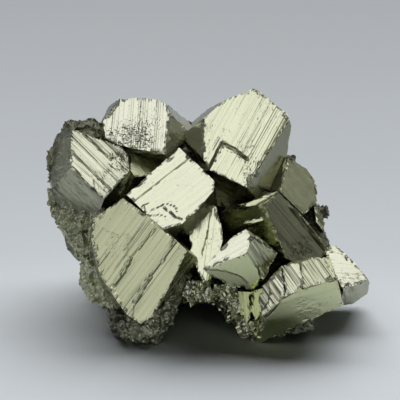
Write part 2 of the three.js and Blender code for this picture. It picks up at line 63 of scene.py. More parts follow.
# A crystal's main face: at is its middle, facing its outward normal, outline its corners (right, up the slope), flare how far
# each side face leans outward, depth how far it runs back, cuts further faces [nx, ny, nz, d]. along is the direction of its
# striations on that face, amp their strength and width their mean width; grooves, plates, calm and pits are in the same
# (right, up) millimetres. sides gives the look of some of its other faces.
# A groove's darkening is painted shade along the groove; a plate's darkening is a darker tone over the plate.
CRYSTALS = [
    {"name": "A", "at": [-21.12, 7.11, 53.06], "facing": [0.074, -0.708, 0.703], "outline": [[-10.21, 1.37], [-9.91, -4.0], [-5.57, -6.96], [0.21, -8.54], [7.8, -10.16], [10.32, 3.33], [8.83, 7.3], [3.31, 8.83], [-4.79, 8.81]], "flare": [5.0, 0.0, 0.0, 0.0, 38.0, 30.0, 8.0, 5.0, 26.0], "depth": 16, "cuts": [[-0.915, 0.131, 0.382, 50.91], [-0.69, 0.244, 0.681, 62.76], [0.001, 0.4, 0.916, 59.93], [0.2, 0.401, 0.894, 54.87]], "along": [-0.125, -0.992], "amp": 0.6, "width": 0.35, "tint": 1.0, "cloud": 0.0, "side_rough": 0.1, "grooves": [{"line": [[-9.5, 2.36], [-8.26, 2.99], [-6.95, 4.97], [-5.34, 6.95], [-4.91, 9.33]], "half": 0.5, "deep": 0.4, "darkening": 0.5}], "plates": [], "calm": [], "pits": [[-9.98, -8.86, 4.58, -0.33, 70, -1.0], [-6.37, -2.2, 4.78, 2.91, 70, -0.75], [0.61, -7.01, 8.64, 6.04, 70, -0.6]], "sides": [{"facing": [-0.729, -0.015, 0.685], "amp": 0.4, "width": 1.0, "along": None, "rough": 0.1, "dark": 0.85}, {"facing": [0.826, -0.457, 0.329], "amp": 0.4, "width": 0.8, "along": None, "rough": 0.25, "dark": 0.1}]},
    {"name": "B", "at": [-31.32, -4.17, 46.5], "facing": [-0.047, -0.745, 0.666], "outline": [[-9.02, -3.99], [1.87, -13.02], [8.72, -4.2], [7.82, 0.87], [5.41, 3.6], [-5.07, 7.58], [-9.71, 9.17]], "flare": [45.0, 8.0, 8.0, 15.0, 10.0, 10.0, 42.0], "depth": 17, "cuts": [[-0.843, 0.192, 0.502, 63.87], [-0.895, 0.156, 0.418, 62.18], [-0.995, -0.045, -0.095, 43.91], [-0.945, -0.287, -0.154, 39.14], [0.013, 0.32, 0.947, 53.03]], "along": [0.724, -0.689], "amp": 0.95, "width": 0.55, "tint": 0.75, "cloud": 0.0, "grooves": [{"line": [[-5.7, 7.05], [-1.46, 3.21], [2.79, -0.4]], "half": 0.55, "deep": 0.35, "darkening": 0.5}, {"line": [[-9.08, 1.56], [-3.05, -4.04], [3.86, -10.56]], "half": 0.45, "deep": 0.35, "darkening": 0.5}, {"line": [[-9.19, -2.56], [-4.6, -7.37], [0.94, -12.42]], "half": 0.35, "deep": 0.3, "darkening": 0.5}], "plates": [{"area": [[-13.23, 11.69], [-5.7, 7.05], [2.79, -0.4], [9.96, 2.51], [4.88, 12.09]], "deep": 0.35, "darkening": 0.0}], "calm": [], "pits": [[-3.09, -11.09, 2.77, -3.4, 26, 0.75], [1.3, -5.32, 8.33, 2.47, 60, 1.0]], "sides": [{"facing": [-0.774, -0.477, 0.416], "amp": 0.4, "width": 0.9, "along": None, "rough": 0.9, "dark": 0.05}, {"facing": [-0.506, -0.86, 0.065], "amp": 0.9, "width": 0.6, "along": [0.699, -0.453, -0.553], "rough": 0.5, "dark": 0.35}]},
    {"name": "C", "at": [-7.16, -15.95, 38.68], "facing": [0.0, -0.722, 0.692], "outline": [[-5.89, -10.31], [-0.14, -8.77], [4.48, -4.28], [9.28, 1.98], [9.53, 4.82], [-0.91, 15.83], [-16.35, 0.72]], "flare": [5.0, 10.0, 10.0, 4.0, 0.0, 0.0, 0.0], "depth": 22, "cuts": [], "along": [0.76, 0.65], "amp": 0.2, "width": 0.6, "tint": 0.75, "cloud": 0.0, "dark": 0.45, "grooves": [{"line": [[-14.69, -2.1], [-6.5, 5.05], [2.73, 12.87]], "half": 0.3, "deep": 0.3, "darkening": 0.45}, {"line": [[-9.86, -4.9], [-6.4, -3.19], [-4.67, -2.1]], "half": 0.16, "deep": 0.15, "darkening": 0.35}, {"line": [[-5.53, -3.5], [-3.49, -4.9], [-2.03, -6.45], [-0.0, -7.07]], "half": 0.28, "deep": 0.3, "darkening": 0.5}, {"line": [[-4.67, -2.1], [-1.76, -3.34], [-1.46, -4.9]], "half": 0.18, "deep": 0.2, "darkening": 0.5}, {"line": [[-12.2, -3.34], [-9.32, -2.1]], "half": 0.16, "deep": 0.15, "darkening": 0.4}, {"line": [[-9.26, -6.14], [-6.38, -5.68], [-4.63, -6.45]], "half": 0.14, "deep": 0.15, "darkening": 0.5}], "plates": [{"area": [[-18.11, 1.35], [-14.69, -2.1], [2.73, 12.87], [-1.01, 17.97]], "deep": 0.55, "darkening": 0.0}], "calm": [], "pits": [[-12.96, 2.61, -7.05, 7.05, 22, 0.55], [-5.24, -7.38, 0.0, -3.03, 14, 0.5]], "sides": []},
    {"name": "D", "at": [-20.7, -26.75, 22.68], "facing": [-0.119, -0.897, 0.426], "outline": [[-13.02, 11.7], [-13.27, 6.18], [-10.14, -4.07], [-1.71, -15.1], [2.83, -17.84], [6.03, -15.36], [8.26, -11.36], [15.0, 4.08], [9.11, 9.09], [1.8, 14.34], [-4.89, 18.35]], "flare": [15.0, 20.0, 22.0, 12.0, 5.0, 12.0, 22.0, 0.0, 0.0, 0.0, 5.0], "depth": 20, "cuts": [[-0.572, -0.327, -0.752, 20.77], [-0.965, -0.108, -0.237, 33.83]], "along": [-0.555, -0.832], "amp": 0.85, "width": 0.8, "tint": 0.2, "cloud": 0.0, "dark": 0.45, "grooves": [{"line": [[5.56, 10.05], [2.29, 5.99], [-1.61, 0.79]], "half": 0.35, "deep": 0.25, "darkening": 0.1}, {"line": [[-1.61, 0.79], [-3.05, -2.52], [-5.93, -7.15]], "half": 0.8, "deep": 0.35, "darkening": 0.2}, {"line": [[11.14, 6.6], [7.73, 0.84], [4.72, -3.47]], "half": 0.6, "deep": 0.3, "darkening": 0.12}, {"line": [[4.62, -3.82], [2.64, -7.67], [0.43, -11.82]], "half": 0.8, "deep": 0.35, "darkening": 0.2}], "plates": [{"area": [[5.81, 10.64], [2.29, 5.99], [-1.61, 0.79], [-5.98, -7.3], [-0.27, -19.6], [19.46, -9.84], [18.65, 4.42]], "deep": 0.22, "darkening": 0.0}, {"area": [[11.54, 7.2], [7.73, 0.84], [4.72, -3.47], [0.43, -11.82], [-0.27, -19.6], [11.15, -16.05], [18.65, 4.42]], "deep": 0.22, "darkening": 0.0}], "calm": [{"area": [[-13.73, 18.35], [-4.91, 18.78], [2.99, 13.96], [-0.13, 7.45], [-5.39, 7.17], [-10.81, 9.2], [-13.23, 10.24]], "calm": 0.97}], "pits": [[-9.56, 0.61, -1.5, 8.51, 40, 0.5]], "sides": [{"facing": [0.777, -0.604, -0.176], "amp": 1.3, "width": 0.5, "along": [-0.574, -0.567, -0.59], "rough": 0.3, "dark": 0.5}]},
    {"name": "E", "at": [10.24, 4.4, 51.61], "facing": [0.0, -0.722, 0.692], "outline": [[-4.27, 10.86], [-11.07, 4.47], [-11.05, -9.39], [-9.27, -12.74], [1.75, -18.06], [14.9, 4.13], [14.28, 5.97], [4.74, 14.76]], "flare": [22.0, 36.0, 3.0, 0.0, 28.0, 8.0, 0.0, 22.0], "depth": 24, "cuts": [[0.99, -0.025, -0.137, 18.31], [-0.327, 0.371, 0.869, 55.91], [-0.242, 0.377, 0.894, 58.15], [-0.57, 0.334, 0.75, 48.45]], "along": [-0.461, -0.888], "amp": 0.75, "width": 0.38, "tint": 0.6, "cloud": 0.0, "side_rough": 0.15, "dark": 0.35, "grooves": [{"line": [[-10.11, -13.61], [-7.7, -8.58], [-5.43, -3.66], [-1.99, -5.8], [1.86, -9.07]], "half": 0.7, "deep": 0.6, "darkening": 0.85}, {"line": [[14.22, 4.63], [8.19, -6.78], [3.25, -16.19]], "half": 0.25, "deep": 0.3, "darkening": 0.35}, {"line": [[13.09, 4.47], [6.35, -8.74], [2.67, -15.87]], "half": 0.15, "deep": 0.2, "darkening": 0.4}], "plates": [], "calm": [{"area": [[-12.19, 13.91], [4.94, 15.95], [-1.36, -2.84], [-5.58, -3.5], [-7.97, -0.19], [-8.55, 6.48]], "calm": 0.95}, {"area": [[-8.55, 6.48], [-7.97, -0.19], [-7.43, -14.26], [-11.29, -9.39], [-11.28, 4.47]], "calm": 0.5}], "pits": [[-7.38, -3.5, -1.92, 1.8, 46, 0.62], [-0.87, -13.29, 5.24, -3.5, 33, 0.72], [-10.99, -9.39, -7.35, 4.47, 33, 0.6], [4.1, 0.47, 14.69, 13.91, 14, 0.6]], "sides": [{"facing": [0.76, -0.65, -0.0], "amp": 0.4, "width": 1.2, "along": None, "rough": 0.15, "dark": 0.65}, {"facing": [-0.809, -0.425, 0.406], "amp": 0.4, "width": 1.2, "along": None, "rough": 0.15, "dark": 0.3}, {"facing": [-0.635, 0.197, 0.747], "amp": 0.4, "width": 1.0, "along": None, "rough": 0.4, "dark": 0.7}, {"facing": [0.0, -0.722, 0.692], "amp": 0.4, "width": 1.0, "along": None, "rough": 0.4, "dark": 0.7}]},
    {"name": "F", "at": [8.59, -5.08, 43.74], "facing": [0.019, -0.716, 0.698], "outline": [[-7.65, -1.03], [3.22, -6.67], [5.46, -1.71], [2.9, 2.22], [-3.92, 7.19]], "flare": [0.0, 0.0, 0.0, 0.0, 36.0], "depth": 14, "cuts": [], "along": [-0.481, -0.877], "amp": 0.5, "width": 0.45, "tint": 0.6, "cloud": 0.0, "dark": 0.7, "grooves": [], "plates": [], "calm": [], "pits": [[1.78, -5.57, 5.59, 2.22, 16, 0.9]], "sides": []},
    {"name": "H", "at": [29.31, 0.66, 34.43], "facing": [0.436, -0.728, 0.529], "outline": [[-8.3, 0.84], [-4.51, -4.68], [-2.27, -7.79], [3.46, -5.16], [5.2, -1.2], [5.02, 1.55], [3.33, 5.88], [-1.93, 10.54]], "flare": [0.0, 0.0, 0.0, 5.0, 5.0, 5.0, 5.0, 20.0], "depth": 24, "cuts": [[-0.556, 0.398, 0.73, 20.89], [-0.992, 0.116, -0.046, -14.2]], "along": [0.445, -0.896], "amp": 0.5, "width": 1.2, "tint": 0.1, "cloud": 0.35, "dark": 0.1, "grooves": [], "plates": [], "calm": [], "pits": [], "sides": []},
    {"name": "I", "at": [25.58, -15.26, 27.07], "facing": [0.353, -0.82, 0.451], "outline": [[-6.2, 2.48], [-4.18, -6.94], [-0.69, -9.16], [8.22, -8.7], [10.64, -6.75], [1.99, 7.19], [-2.11, 12.17], [-7.68, 9.71]], "flare": [20.0, 5.0, 0.0, 10.0, 22.0, 5.0, 10.0, 25.0], "depth": 22, "cuts": [[0.947, 0.125, 0.295, 40.15]], "along": [0.54, -0.842], "amp": 0.7, "width": 1.3, "tint": 0.1, "cloud": 0.25, "main_dark": 0.5, "grooves": [{"line": [[0.81, 7.07], [4.92, 0.42], [9.26, -6.91]], "half": 0.8, "deep": 0.6, "darkening": 1.0}], "plates": [], "calm": [], "pits": [[-2.51, -7.94, 5.49, -2.14, 8, 1.0]], "sides": []},
    {"name": "J", "at": [0.27, -16.74, 26.05], "facing": [-0.047, -0.745, 0.666], "outline": [[-2.3, 8.73], [-5.38, 1.15], [-4.78, -5.62], [-0.78, -13.73], [1.51, -12.76], [4.57, -0.75], [4.3, 2.65], [2.43, 9.16], [0.42, 11.16]], "flare": [10.0, 10.0, 5.0, 5.0, 5.0, 5.0, 0.0, 0.0, 5.0], "depth": 12, "cuts": [], "along": [-0.075, -0.997], "amp": 0.4, "width": 0.45, "tint": 0.6, "cloud": 0.0, "grooves": [{"line": [[0.88, 11.01], [0.04, 2.23], [-1.67, -6.45]], "half": 0.2, "deep": 0.25, "darkening": 0.3}], "plates": [], "calm": [], "pits": [[-1.2, -5.51, 3.86, 3.87, 24, 0.5]], "sides": []},
    {"name": "K", "at": [8.02, -31.0, 20.12], "facing": [0.232, -0.968, -0.1], "outline": [[-6.76, 0.36], [-1.34, -3.11], [5.3, -5.41], [9.04, -2.18], [3.22, 7.19], [-9.46, 3.15]], "flare": [0.0, 0.0, 0.0, 50.0, 38.7, 0.0], "depth": 20, "cuts": [[-0.732, 0.289, 0.617, 5.78], [-0.464, 0.364, 0.807, 11.7], [0.527, 0.319, 0.788, 23.33], [0.666, 0.271, 0.695, 23.93], [0.965, 0.053, 0.256, 25.0], [0.982, -0.13, -0.14, 21.29]], "along": [0.511, -0.86], "amp": 0.05, "width": 1.2, "tint": 0.0, "cloud": 0.0, "grooves": [], "plates": [{"area": [[-9.45, 2.49], [-6.54, 2.81], [-3.29, 2.11], [0.9, 0.3], [3.99, -2.73], [4.72, -5.85], [0.62, -8.06], [-10.18, -3.39]], "deep": 0.12, "darkening": 0.35}], "calm": [], "pits": [], "sides": [{"facing": [0.717, -0.647, 0.26], "amp": 2.4, "width": 1.5, "along": [0.488, 0.198, -0.85], "rough": 0.0, "dark": 0.25, "tint": 0.3}, {"facing": [-0.068, -0.733, 0.677], "amp": 0.3, "width": 0.9, "along": None, "rough": -0.15, "dark": 0.0, "tint": 1.0}]},
    {"name": "L", "at": [22.94, -33.97, 10.1], "facing": [0.088, -0.992, -0.095], "outline": [[-8.76, -10.75], [-6.6, -9.82], [16.48, 1.69], [14.05, 10.3], [4.32, 7.76], [-0.6, 5.39], [-3.87, 2.64], [-7.14, -1.59], [-7.88, -5.63]], "flare": [0.0, 0.0, 0.0, 3.0, 3.0, 3.0, 5.0, 10.0, 15.0], "depth": 24, "cuts": [[-0.71, 0.334, 0.62, -10.91], [-0.227, 0.42, 0.878, 3.09], [0.0, 0.414, 0.91, 10.97], [-0.944, 0.181, 0.276, -15.76]], "along": [0.95, 0.311], "amp": 0.22, "width": 2.2, "tint": 0.05, "cloud": 0.0, "grooves": [], "plates": [], "calm": [], "pits": [[2.47, -3.96, 13.89, 4.02, 8, 0.6], [-5.36, -8.83, 1.26, -3.03, 8, 0.5]], "sides": [{"facing": [-0.419, -0.175, 0.891], "amp": 2.6, "width": 0.9, "along": [0.268, -0.961, -0.064], "rough": 0.0, "dark": 0.0}, {"facing": [-0.631, -0.181, 0.755], "amp": 2.6, "width": 0.9, "along": [0.26, -0.966, -0.015], "rough": 0.0, "dark": 0.0}]},
    {"name": "M", "at": [40.84, -18.41, 16.61], "facing": [0.073, -0.702, 0.708], "outline": [[-5.54, 3.65], [-4.4, 0.44], [-1.28, -6.28], [2.72, -5.23], [6.72, -3.7], [4.2, 0.54], [1.03, 4.49], [-3.46, 6.09]], "flare": [0.0, 20.0, 35.0, 25.0, 6.0, 6.0, 0.0, 0.0], "depth": 16, "cuts": [[0.99, -0.118, -0.078, 49.12], [0.584, -0.374, -0.72, 28.79], [0.129, -0.408, -0.904, 8.61]], "along": [0.991, -0.131], "amp": 0.32, "width": 0.5, "tint": 0.9, "cloud": 0.0, "dark": 0.3, "grooves": [], "plates": [], "calm": [], "pits": [[-2.73, -6.24, 4.93, -1.55, 26, 0.75]], "sides": []},
    {"name": "M2", "at": [38.37, -14.07, 19.36], "facing": [0.028, -0.704, 0.71], "outline": [[-1.87, -3.71], [2.98, -2.53], [3.16, 0.01], [0.66, 2.83], [-1.57, 2.65], [-3.37, 0.76]], "flare": [0.0, 0.0, 0.0, 0.0, 0.0, 0.0], "depth": 10, "cuts": [], "along": [0.995, -0.101], "amp": 0.32, "width": 0.5, "tint": 0.9, "cloud": 0.0, "grooves": [], "plates": [], "calm": [], "pits": [], "sides": []},
    {"name": "S1", "at": [11.67, -5.32, 30.35], "facing": [-0.094, -0.994, 0.047], "outline": [[-3.98, -2.43], [-0.63, -4.23], [5.04, -0.8], [7.33, 4.38], [-1.33, 2.08], [-6.44, 1.0]], "flare": [0.0, 0.0, 0.0, 45.0, 35.0, 0.0], "depth": 14, "cuts": [[-0.124, 0.376, 0.918, 26.97], [-0.41, 0.357, 0.839, 20.17]], "along": [0.964, 0.264], "amp": 0.6, "width": 0.8, "tint": 0.6, "cloud": 0.0, "grooves": [], "plates": [], "calm": [], "pits": [], "sides": []},
    {"name": "S2", "at": [15.74, -11.3, 26.21], "facing": [-0.048, -0.995, 0.092], "outline": [[-3.99, -0.59], [-0.38, -2.71], [4.42, -4.19], [3.73, 0.5], [1.9, 3.12], [-0.77, 2.6], [-4.91, 1.27]], "flare": [0.0, 0.0, 0.0, 20.0, 45.0, 45.0, 0.0], "depth": 14, "cuts": [[-0.34, 0.377, 0.862, 16.74], [-0.042, 0.387, 0.921, 22.96]], "along": [0.969, 0.248], "amp": 0.6, "width": 0.8, "tint": 0.6, "cloud": 0.0, "grooves": [], "plates": [], "calm": [], "pits": [], "sides": []},
    {"name": "N", "at": [14.18, -31.77, 11.58], "facing": [-0.325, -0.929, 0.175], "outline": [[-1.74, -1.4], [-0.25, -5.39], [2.19, -1.69], [1.56, 5.09], [-1.77, 3.4]], "flare": [0.0, 0.0, 0.0, 0.0, 0.0], "depth": 12, "cuts": [], "along": [0.172, -0.985], "amp": 0.3, "width": 0.8, "tint": -0.6, "cloud": 0.0, "grooves": [], "plates": [], "calm": [], "pits": [], "sides": []},
    {"name": "N2", "at": [11.04, -30.77, 10.06], "facing": [-0.146, -0.972, 0.184], "outline": [[-1.4, -1.47], [0.46, -4.95], [1.85, -3.04], [1.58, 4.72], [-2.48, 4.74]], "flare": [0.0, 0.0, 0.0, 0.0, 0.0], "depth": 12, "cuts": [], "along": [0.131, -0.991], "amp": 2.2, "width": 0.8, "tint": -0.5, "cloud": 0.0, "grooves": [], "plates": [], "calm": [], "pits": [], "sides": []},
    {"name": "L2", "at": [17.95, -32.56, 15.49], "facing": [-0.27, -0.706, 0.654], "outline": [[-0.43, -7.35], [4.94, -0.11], [1.46, 8.62], [-2.91, 1.39], [-3.05, -2.55]], "flare": [0.0, 0.0, 0.0, 0.0, 0.0], "depth": 6, "cuts": [], "along": [0.723, -0.69], "amp": 2.1, "width": 1.2, "tint": 0.7, "cloud": 0.0, "grooves": [], "plates": [{"area": [[-6.61, 2.91], [-2.07, 4.26], [-0.1, 0.95], [0.19, -2.91], [-2.43, -8.44]], "deep": 0.15, "darkening": 0.3}], "calm": [], "pits": [], "sides": []},
    {"name": "L4", "at": [24.51, -31.65, 19.88], "facing": [-0.148, -0.723, 0.675], "outline": [[-1.42, -5.82], [3.65, -2.53], [1.54, 4.94], [-3.77, 3.41]], "flare": [0.0, 0.0, 0.0, 0.0], "depth": 6, "cuts": [], "along": [0.638, -0.77], "amp": 2.1, "width": 0.7, "tint": 0.7, "cloud": 0.0, "grooves": [], "plates": [], "calm": [], "pits": [], "sides": []},
    {"name": "L3", "at": [31.99, -31.86, 22.3], "facing": [-0.037, -0.721, 0.692], "outline": [[-4.58, -5.47], [5.1, -2.56], [5.44, -1.96], [1.33, 3.81], [-1.8, 3.74], [-5.49, 2.45]], "flare": [0.0, 0.0, 0.0, 0.0, 0.0, 0.0], "depth": 6, "cuts": [], "along": [0.559, -0.829], "amp": 2.0, "width": 0.5, "tint": 0.5, "cloud": 0.0, "grooves": [], "plates": [], "calm": [], "pits": [], "sides": []},
    {"name": "H3", "at": [23.65, -2.66, 40.94], "facing": [0.046, -0.721, 0.691], "outline": [[-1.13, -1.33], [1.65, -0.26], [1.0, 1.12], [-1.52, 0.47]], "flare": [0.0, 0.0, 0.0, 0.0], "depth": 3, "cuts": [], "along": [0.548, -0.837], "amp": 0.5, "width": 0.7, "tint": 0.4, "cloud": 0.0, "rough": -0.3, "grooves": [], "plates": [], "calm": [], "pits": [], "sides": []},
    {"name": "S3", "at": [16.04, -10.65, 35.31], "facing": [-0.028, -0.721, 0.692], "outline": [[-4.07, -2.02], [-0.54, -1.59], [2.99, -0.13], [5.93, 1.92], [5.34, 3.09], [-2.62, 0.29], [-7.03, -1.56]], "flare": [0.0, 0.0, 0.0, 0.0, 0.0, 0.0, 0.0], "depth": 4, "cuts": [], "along": [0.969, 0.247], "amp": 0.9, "width": 0.5, "tint": 0.3, "cloud": 0.0, "rough": -0.3, "grooves": [], "plates": [], "calm": [], "pits": [], "sides": []},
    {"name": "S4", "at": [14.44, -14.38, 30.35], "facing": [-0.028, -0.721, 0.692], "outline": [[-1.36, -0.97], [1.86, -0.1], [3.18, 0.87], [1.56, 1.16], [-1.38, 0.17], [-3.86, -1.13]], "flare": [0.0, 0.0, 0.0, 0.0, 0.0, 0.0], "depth": 4, "cuts": [], "along": [0.969, 0.247], "amp": 0.9, "width": 0.5, "tint": 0.3, "cloud": 0.0, "rough": -0.3, "grooves": [], "plates": [], "calm": [], "pits": [], "sides": []},
    {"name": "R", "at": [34.64, -1.86, 25.56], "facing": [0.259, -0.639, 0.724], "outline": [[-1.67, -0.72], [-0.24, -4.0], [1.33, -1.38], [1.14, 1.54], [-0.56, 4.55]], "flare": [0.0, 0.0, 0.0, 0.0, 0.0], "depth": 10, "cuts": [], "along": [0.343, -0.94], "amp": 0.8, "width": 0.6, "tint": 0.2, "cloud": 0.0, "grooves": [], "plates": [], "calm": [], "pits": [], "sides": []},
]
BLOCKS = [
    {"name": "b1", "at": [-22.95, 9.75, 35.0], "size": [22, 24, 21], "turn": [24, 12, 38]},
    {"name": "b2", "at": [7.04, 14.75, 33.5], "size": [22, 22, 21], "turn": [-18, 20, 18]},
    {"name": "b3", "at": [-5.96, 19.75, 22.0], "size": [20, 19, 22], "turn": [35, -10, 20]},
    {"name": "b4", "at": [22.05, 6.75, 20.0], "size": [20, 18, 19], "turn": [12, 30, -25]},
    {"name": "b5", "at": [-26.95, 1.75, 17.0], "size": [16, 16, 15], "turn": [-20, 25, 40]},
    {"name": "b6", "at": [6.04, 16.75, 9.0], "size": [20, 21, 19], "turn": [10, -28, 55]},
    {"name": "b7", "at": [-18.95, 11.75, 9.0], "size": [21, 17, 18], "turn": [-15, 18, 12]},
    {"name": "b8", "at": [20.05, 18.75, 28.0], "size": [12, 13, 12], "turn": [30, 40, 10]},
    {"name": "b9", "at": [-15.96, 24.75, 32.0], "size": [11, 12, 11], "turn": [15, -35, 40]},
    {"name": "b10", "at": [-33.95, 12.75, 26.0], "size": [12, 11, 13], "turn": [40, 10, 15]},
]
ROCKS = [
    {"name": "O1", "corners": [[-42.96, 11.17, 52.48], [-46.72, 6.59, 46.48], [-48.58, 4.28, 43.44], [-47.71, 0.73, 37.32], [-31.33, 10.88, 51.77], [-30.75, -5.25, 33.2], [-42.85, 27.96, 45.97], [-47.75, 27.4, 33.92], [-33.9, 27.24, 44.2], [-45.84, 18.2, 27.16], [-30.57, 18.2, 27.16]], "rough": 1.6, "side_rough": 1.6, "look_rough": 0.6, "amp": 0.15, "width": 0.8, "tint": 0.3, "cloud": 0.6, "dark": 0.6},
    {"name": "O2", "corners": [[-47.71, -0.4, 34.51], [-47.9, -3.03, 30.67], [-47.48, -4.63, 29.38], [-43.74, -10.12, 26.48], [-40.56, -13.52, 23.41], [-36.91, -16.98, 17.49], [-31.66, -8.95, 34.7], [-28.28, -18.9, 26.1], [-45.63, 15.15, 24.96], [-40.2, 6.75, 14.83], [-33.0, 0.76, 10.68], [-30.44, 15.15, 24.96]], "rough": 1.7, "side_rough": 1.7, "look_rough": 0.6, "amp": 0.2, "width": 0.8, "tint": 0.4, "cloud": 0.6, "dark": 0.2},
    {"name": "O3", "corners": [[-37.59, -15.96, 17.35], [-37.8, -18.76, 13.1], [-35.35, -20.88, 10.52], [-34.38, -22.78, 8.49], [-26.75, -28.34, 5.4], [-22.32, -28.58, 7.48], [-16.66, -25.88, 3.49], [-31.2, -20.0, 23.39], [-22.53, -18.17, 22.57], [-35.16, -4.27, 8.93], [-26.07, -15.59, 2.26], [-17.03, -15.25, 3.1], [-33.08, 1.67, 10.27]], "rough": 1.6, "side_rough": 1.6, "look_rough": 0.6, "amp": 0.2, "width": 0.9, "tint": 0.5, "cloud": 0.4, "dark": 0.0},
    {"name": "P", "corners": [[-27.27, -29.02, 6.4], [-26.88, -31.77, 3.59], [-25.11, -32.87, 2.21], [-21.01, -34.84, 0.0], [-14.95, -35.05, -0.54], [-12.14, -31.09, 1.27], [-8.39, -25.47, 9.83], [-9.06, -27.29, 5.32], [-10.34, -29.63, 11.56], [-10.46, -30.74, 11.47], [-13.16, -32.81, 10.35], [-6.09, -19.66, 13.53], [-25.71, -21.19, 4.41], [-13.89, -20.52, 0.74], [-18.16, -34.99, 6.29], [-16.6, -35.64, 3.35], [-22.32, -32.18, -1.43]], "rough": 1.3, "side_rough": 1.3, "look_rough": 0.45, "amp": 0.2, "width": 0.8, "tint": 0.6, "cloud": 0.6, "dark": 0.35},
    {"name": "T", "corners": [[17.45, -27.97, -1.69], [21.38, -30.14, 0.94], [24.17, -31.81, 2.14], [26.49, -31.87, 2.01], [29.1, -31.16, 3.76], [30.76, -31.24, 6.23], [28.56, -29.14, 7.43], [24.23, -29.02, 6.4], [20.04, -27.65, 1.77], [25.37, -22.86, 0.28], [23.29, -23.53, -1.38]], "rough": 1.6, "side_rough": 1.6, "amp": 0.3, "width": 0.8, "tint": 0.3, "cloud": 0.3, "dark": 0.2},
    {"name": "Q", "corners": [[-7.82, -22.49, 14.55], [-7.56, -22.94, 6.77], [1.88, -22.68, 7.4], [0.98, -22.49, 14.55], [-4.99, -9.14, 10.2], [2.58, -12.09, 8.26]], "rough": 1.2, "side_rough": 1.2, "look_rough": 0.1, "amp": 0.15, "width": 0.8, "tint": 0.7, "cloud": 0.2, "dark": 0.0},
    {"name": "R2", "corners": [[1.84, -24.62, 14.6], [8.52, -25.64, 14.76], [8.84, -28.01, 6.21], [5.68, -25.23, 6.44], [10.01, -29.32, 2.97], [1.29, -22.89, 8.22], [11.54, -16.48, 5.38], [2.54, -15.36, 8.17], [12.27, -31.98, 1.74], [13.72, -33.39, -1.76], [12.08, -30.4, -2.38], [10.91, -29.64, -0.48], [14.88, -30.89, 4.43]], "rough": 1.3, "side_rough": 1.3, "look_rough": 0.2, "amp": 0.5, "width": 0.6, "tint": 0.6, "cloud": 0.3, "dark": 0.0},
]
LUMPS = [
    [[-29.49, 7.33, 42.97], [-8.1, 10.94, 46.56], [-5.06, 15.3, 46.67], [2.72, 13.1, 35.88], [13.72, 12.62, 29.36], [4.71, -8.57, 14.28], [-6.11, -20.08, 7.16], [1.02, -19.18, 6.72], [-16.88, -16.49, 10.7], [-25.84, -10.45, 25.65], [-28.28, 29.13, 43.54], [-0.34, 31.27, 43.49], [10.19, -9.94, 8.23], [-17.4, -2.92, 6.93], [15.58, 19.13, 26.79], [-27.75, 22.57, 21.96], [7.54, 6.85, 4.42]],
    [[15.2, 11.34, 31.55], [29.09, 10.06, 33.71], [34.11, 4.38, 27.65], [36.2, -1.73, 23.22], [37.34, -8.12, 18.06], [39.55, -14.23, 8.29], [37.05, -16.26, 5.94], [16.37, -23.87, 3.12], [13.33, -22.57, 11.66], [10.16, -7.21, 17.65], [25.05, -12.21, 15.95], [29.5, 22.52, 27.18], [35.39, 10.41, 13.22], [36.11, -0.34, 2.62], [14.96, -7.49, 0.94]],
    [[-13.96, -1.25, 0.0], [-16.95, 6.75, 0.0], [-10.96, 19.75, 0.0], [2.04, 22.75, 0.0], [12.04, 14.75, 0.0], [11.04, -0.25, 0.0], [-19.95, -4.25, 6.0], [-28.95, 4.75, 6.0], [-19.95, 22.75, 6.0], [4.04, 28.75, 6.0], [21.05, 18.75, 6.0], [21.05, -1.25, 6.0], [12.04, -5.25, 6.0], [-32.95, 4.75, 18.0], [-25.95, 20.75, 22.0], [8.04, 28.75, 20.0], [30.05, 14.75, 20.0], [31.05, -3.25, 20.0], [14.04, -10.25, 14.0], [-21.95, -10.25, 14.0]],
    [[-35.95, -5.25, 22.0], [-31.95, 16.75, 36.0], [-11.96, 24.75, 40.0], [18.05, 24.75, 42.0], [31.05, 4.75, 34.0], [28.05, -0.25, 20.0], [-19.95, -2.25, 12.0], [-13.96, 6.75, 45.0], [10.04, 9.75, 46.0], [-1.96, 24.75, 10.0]],
]
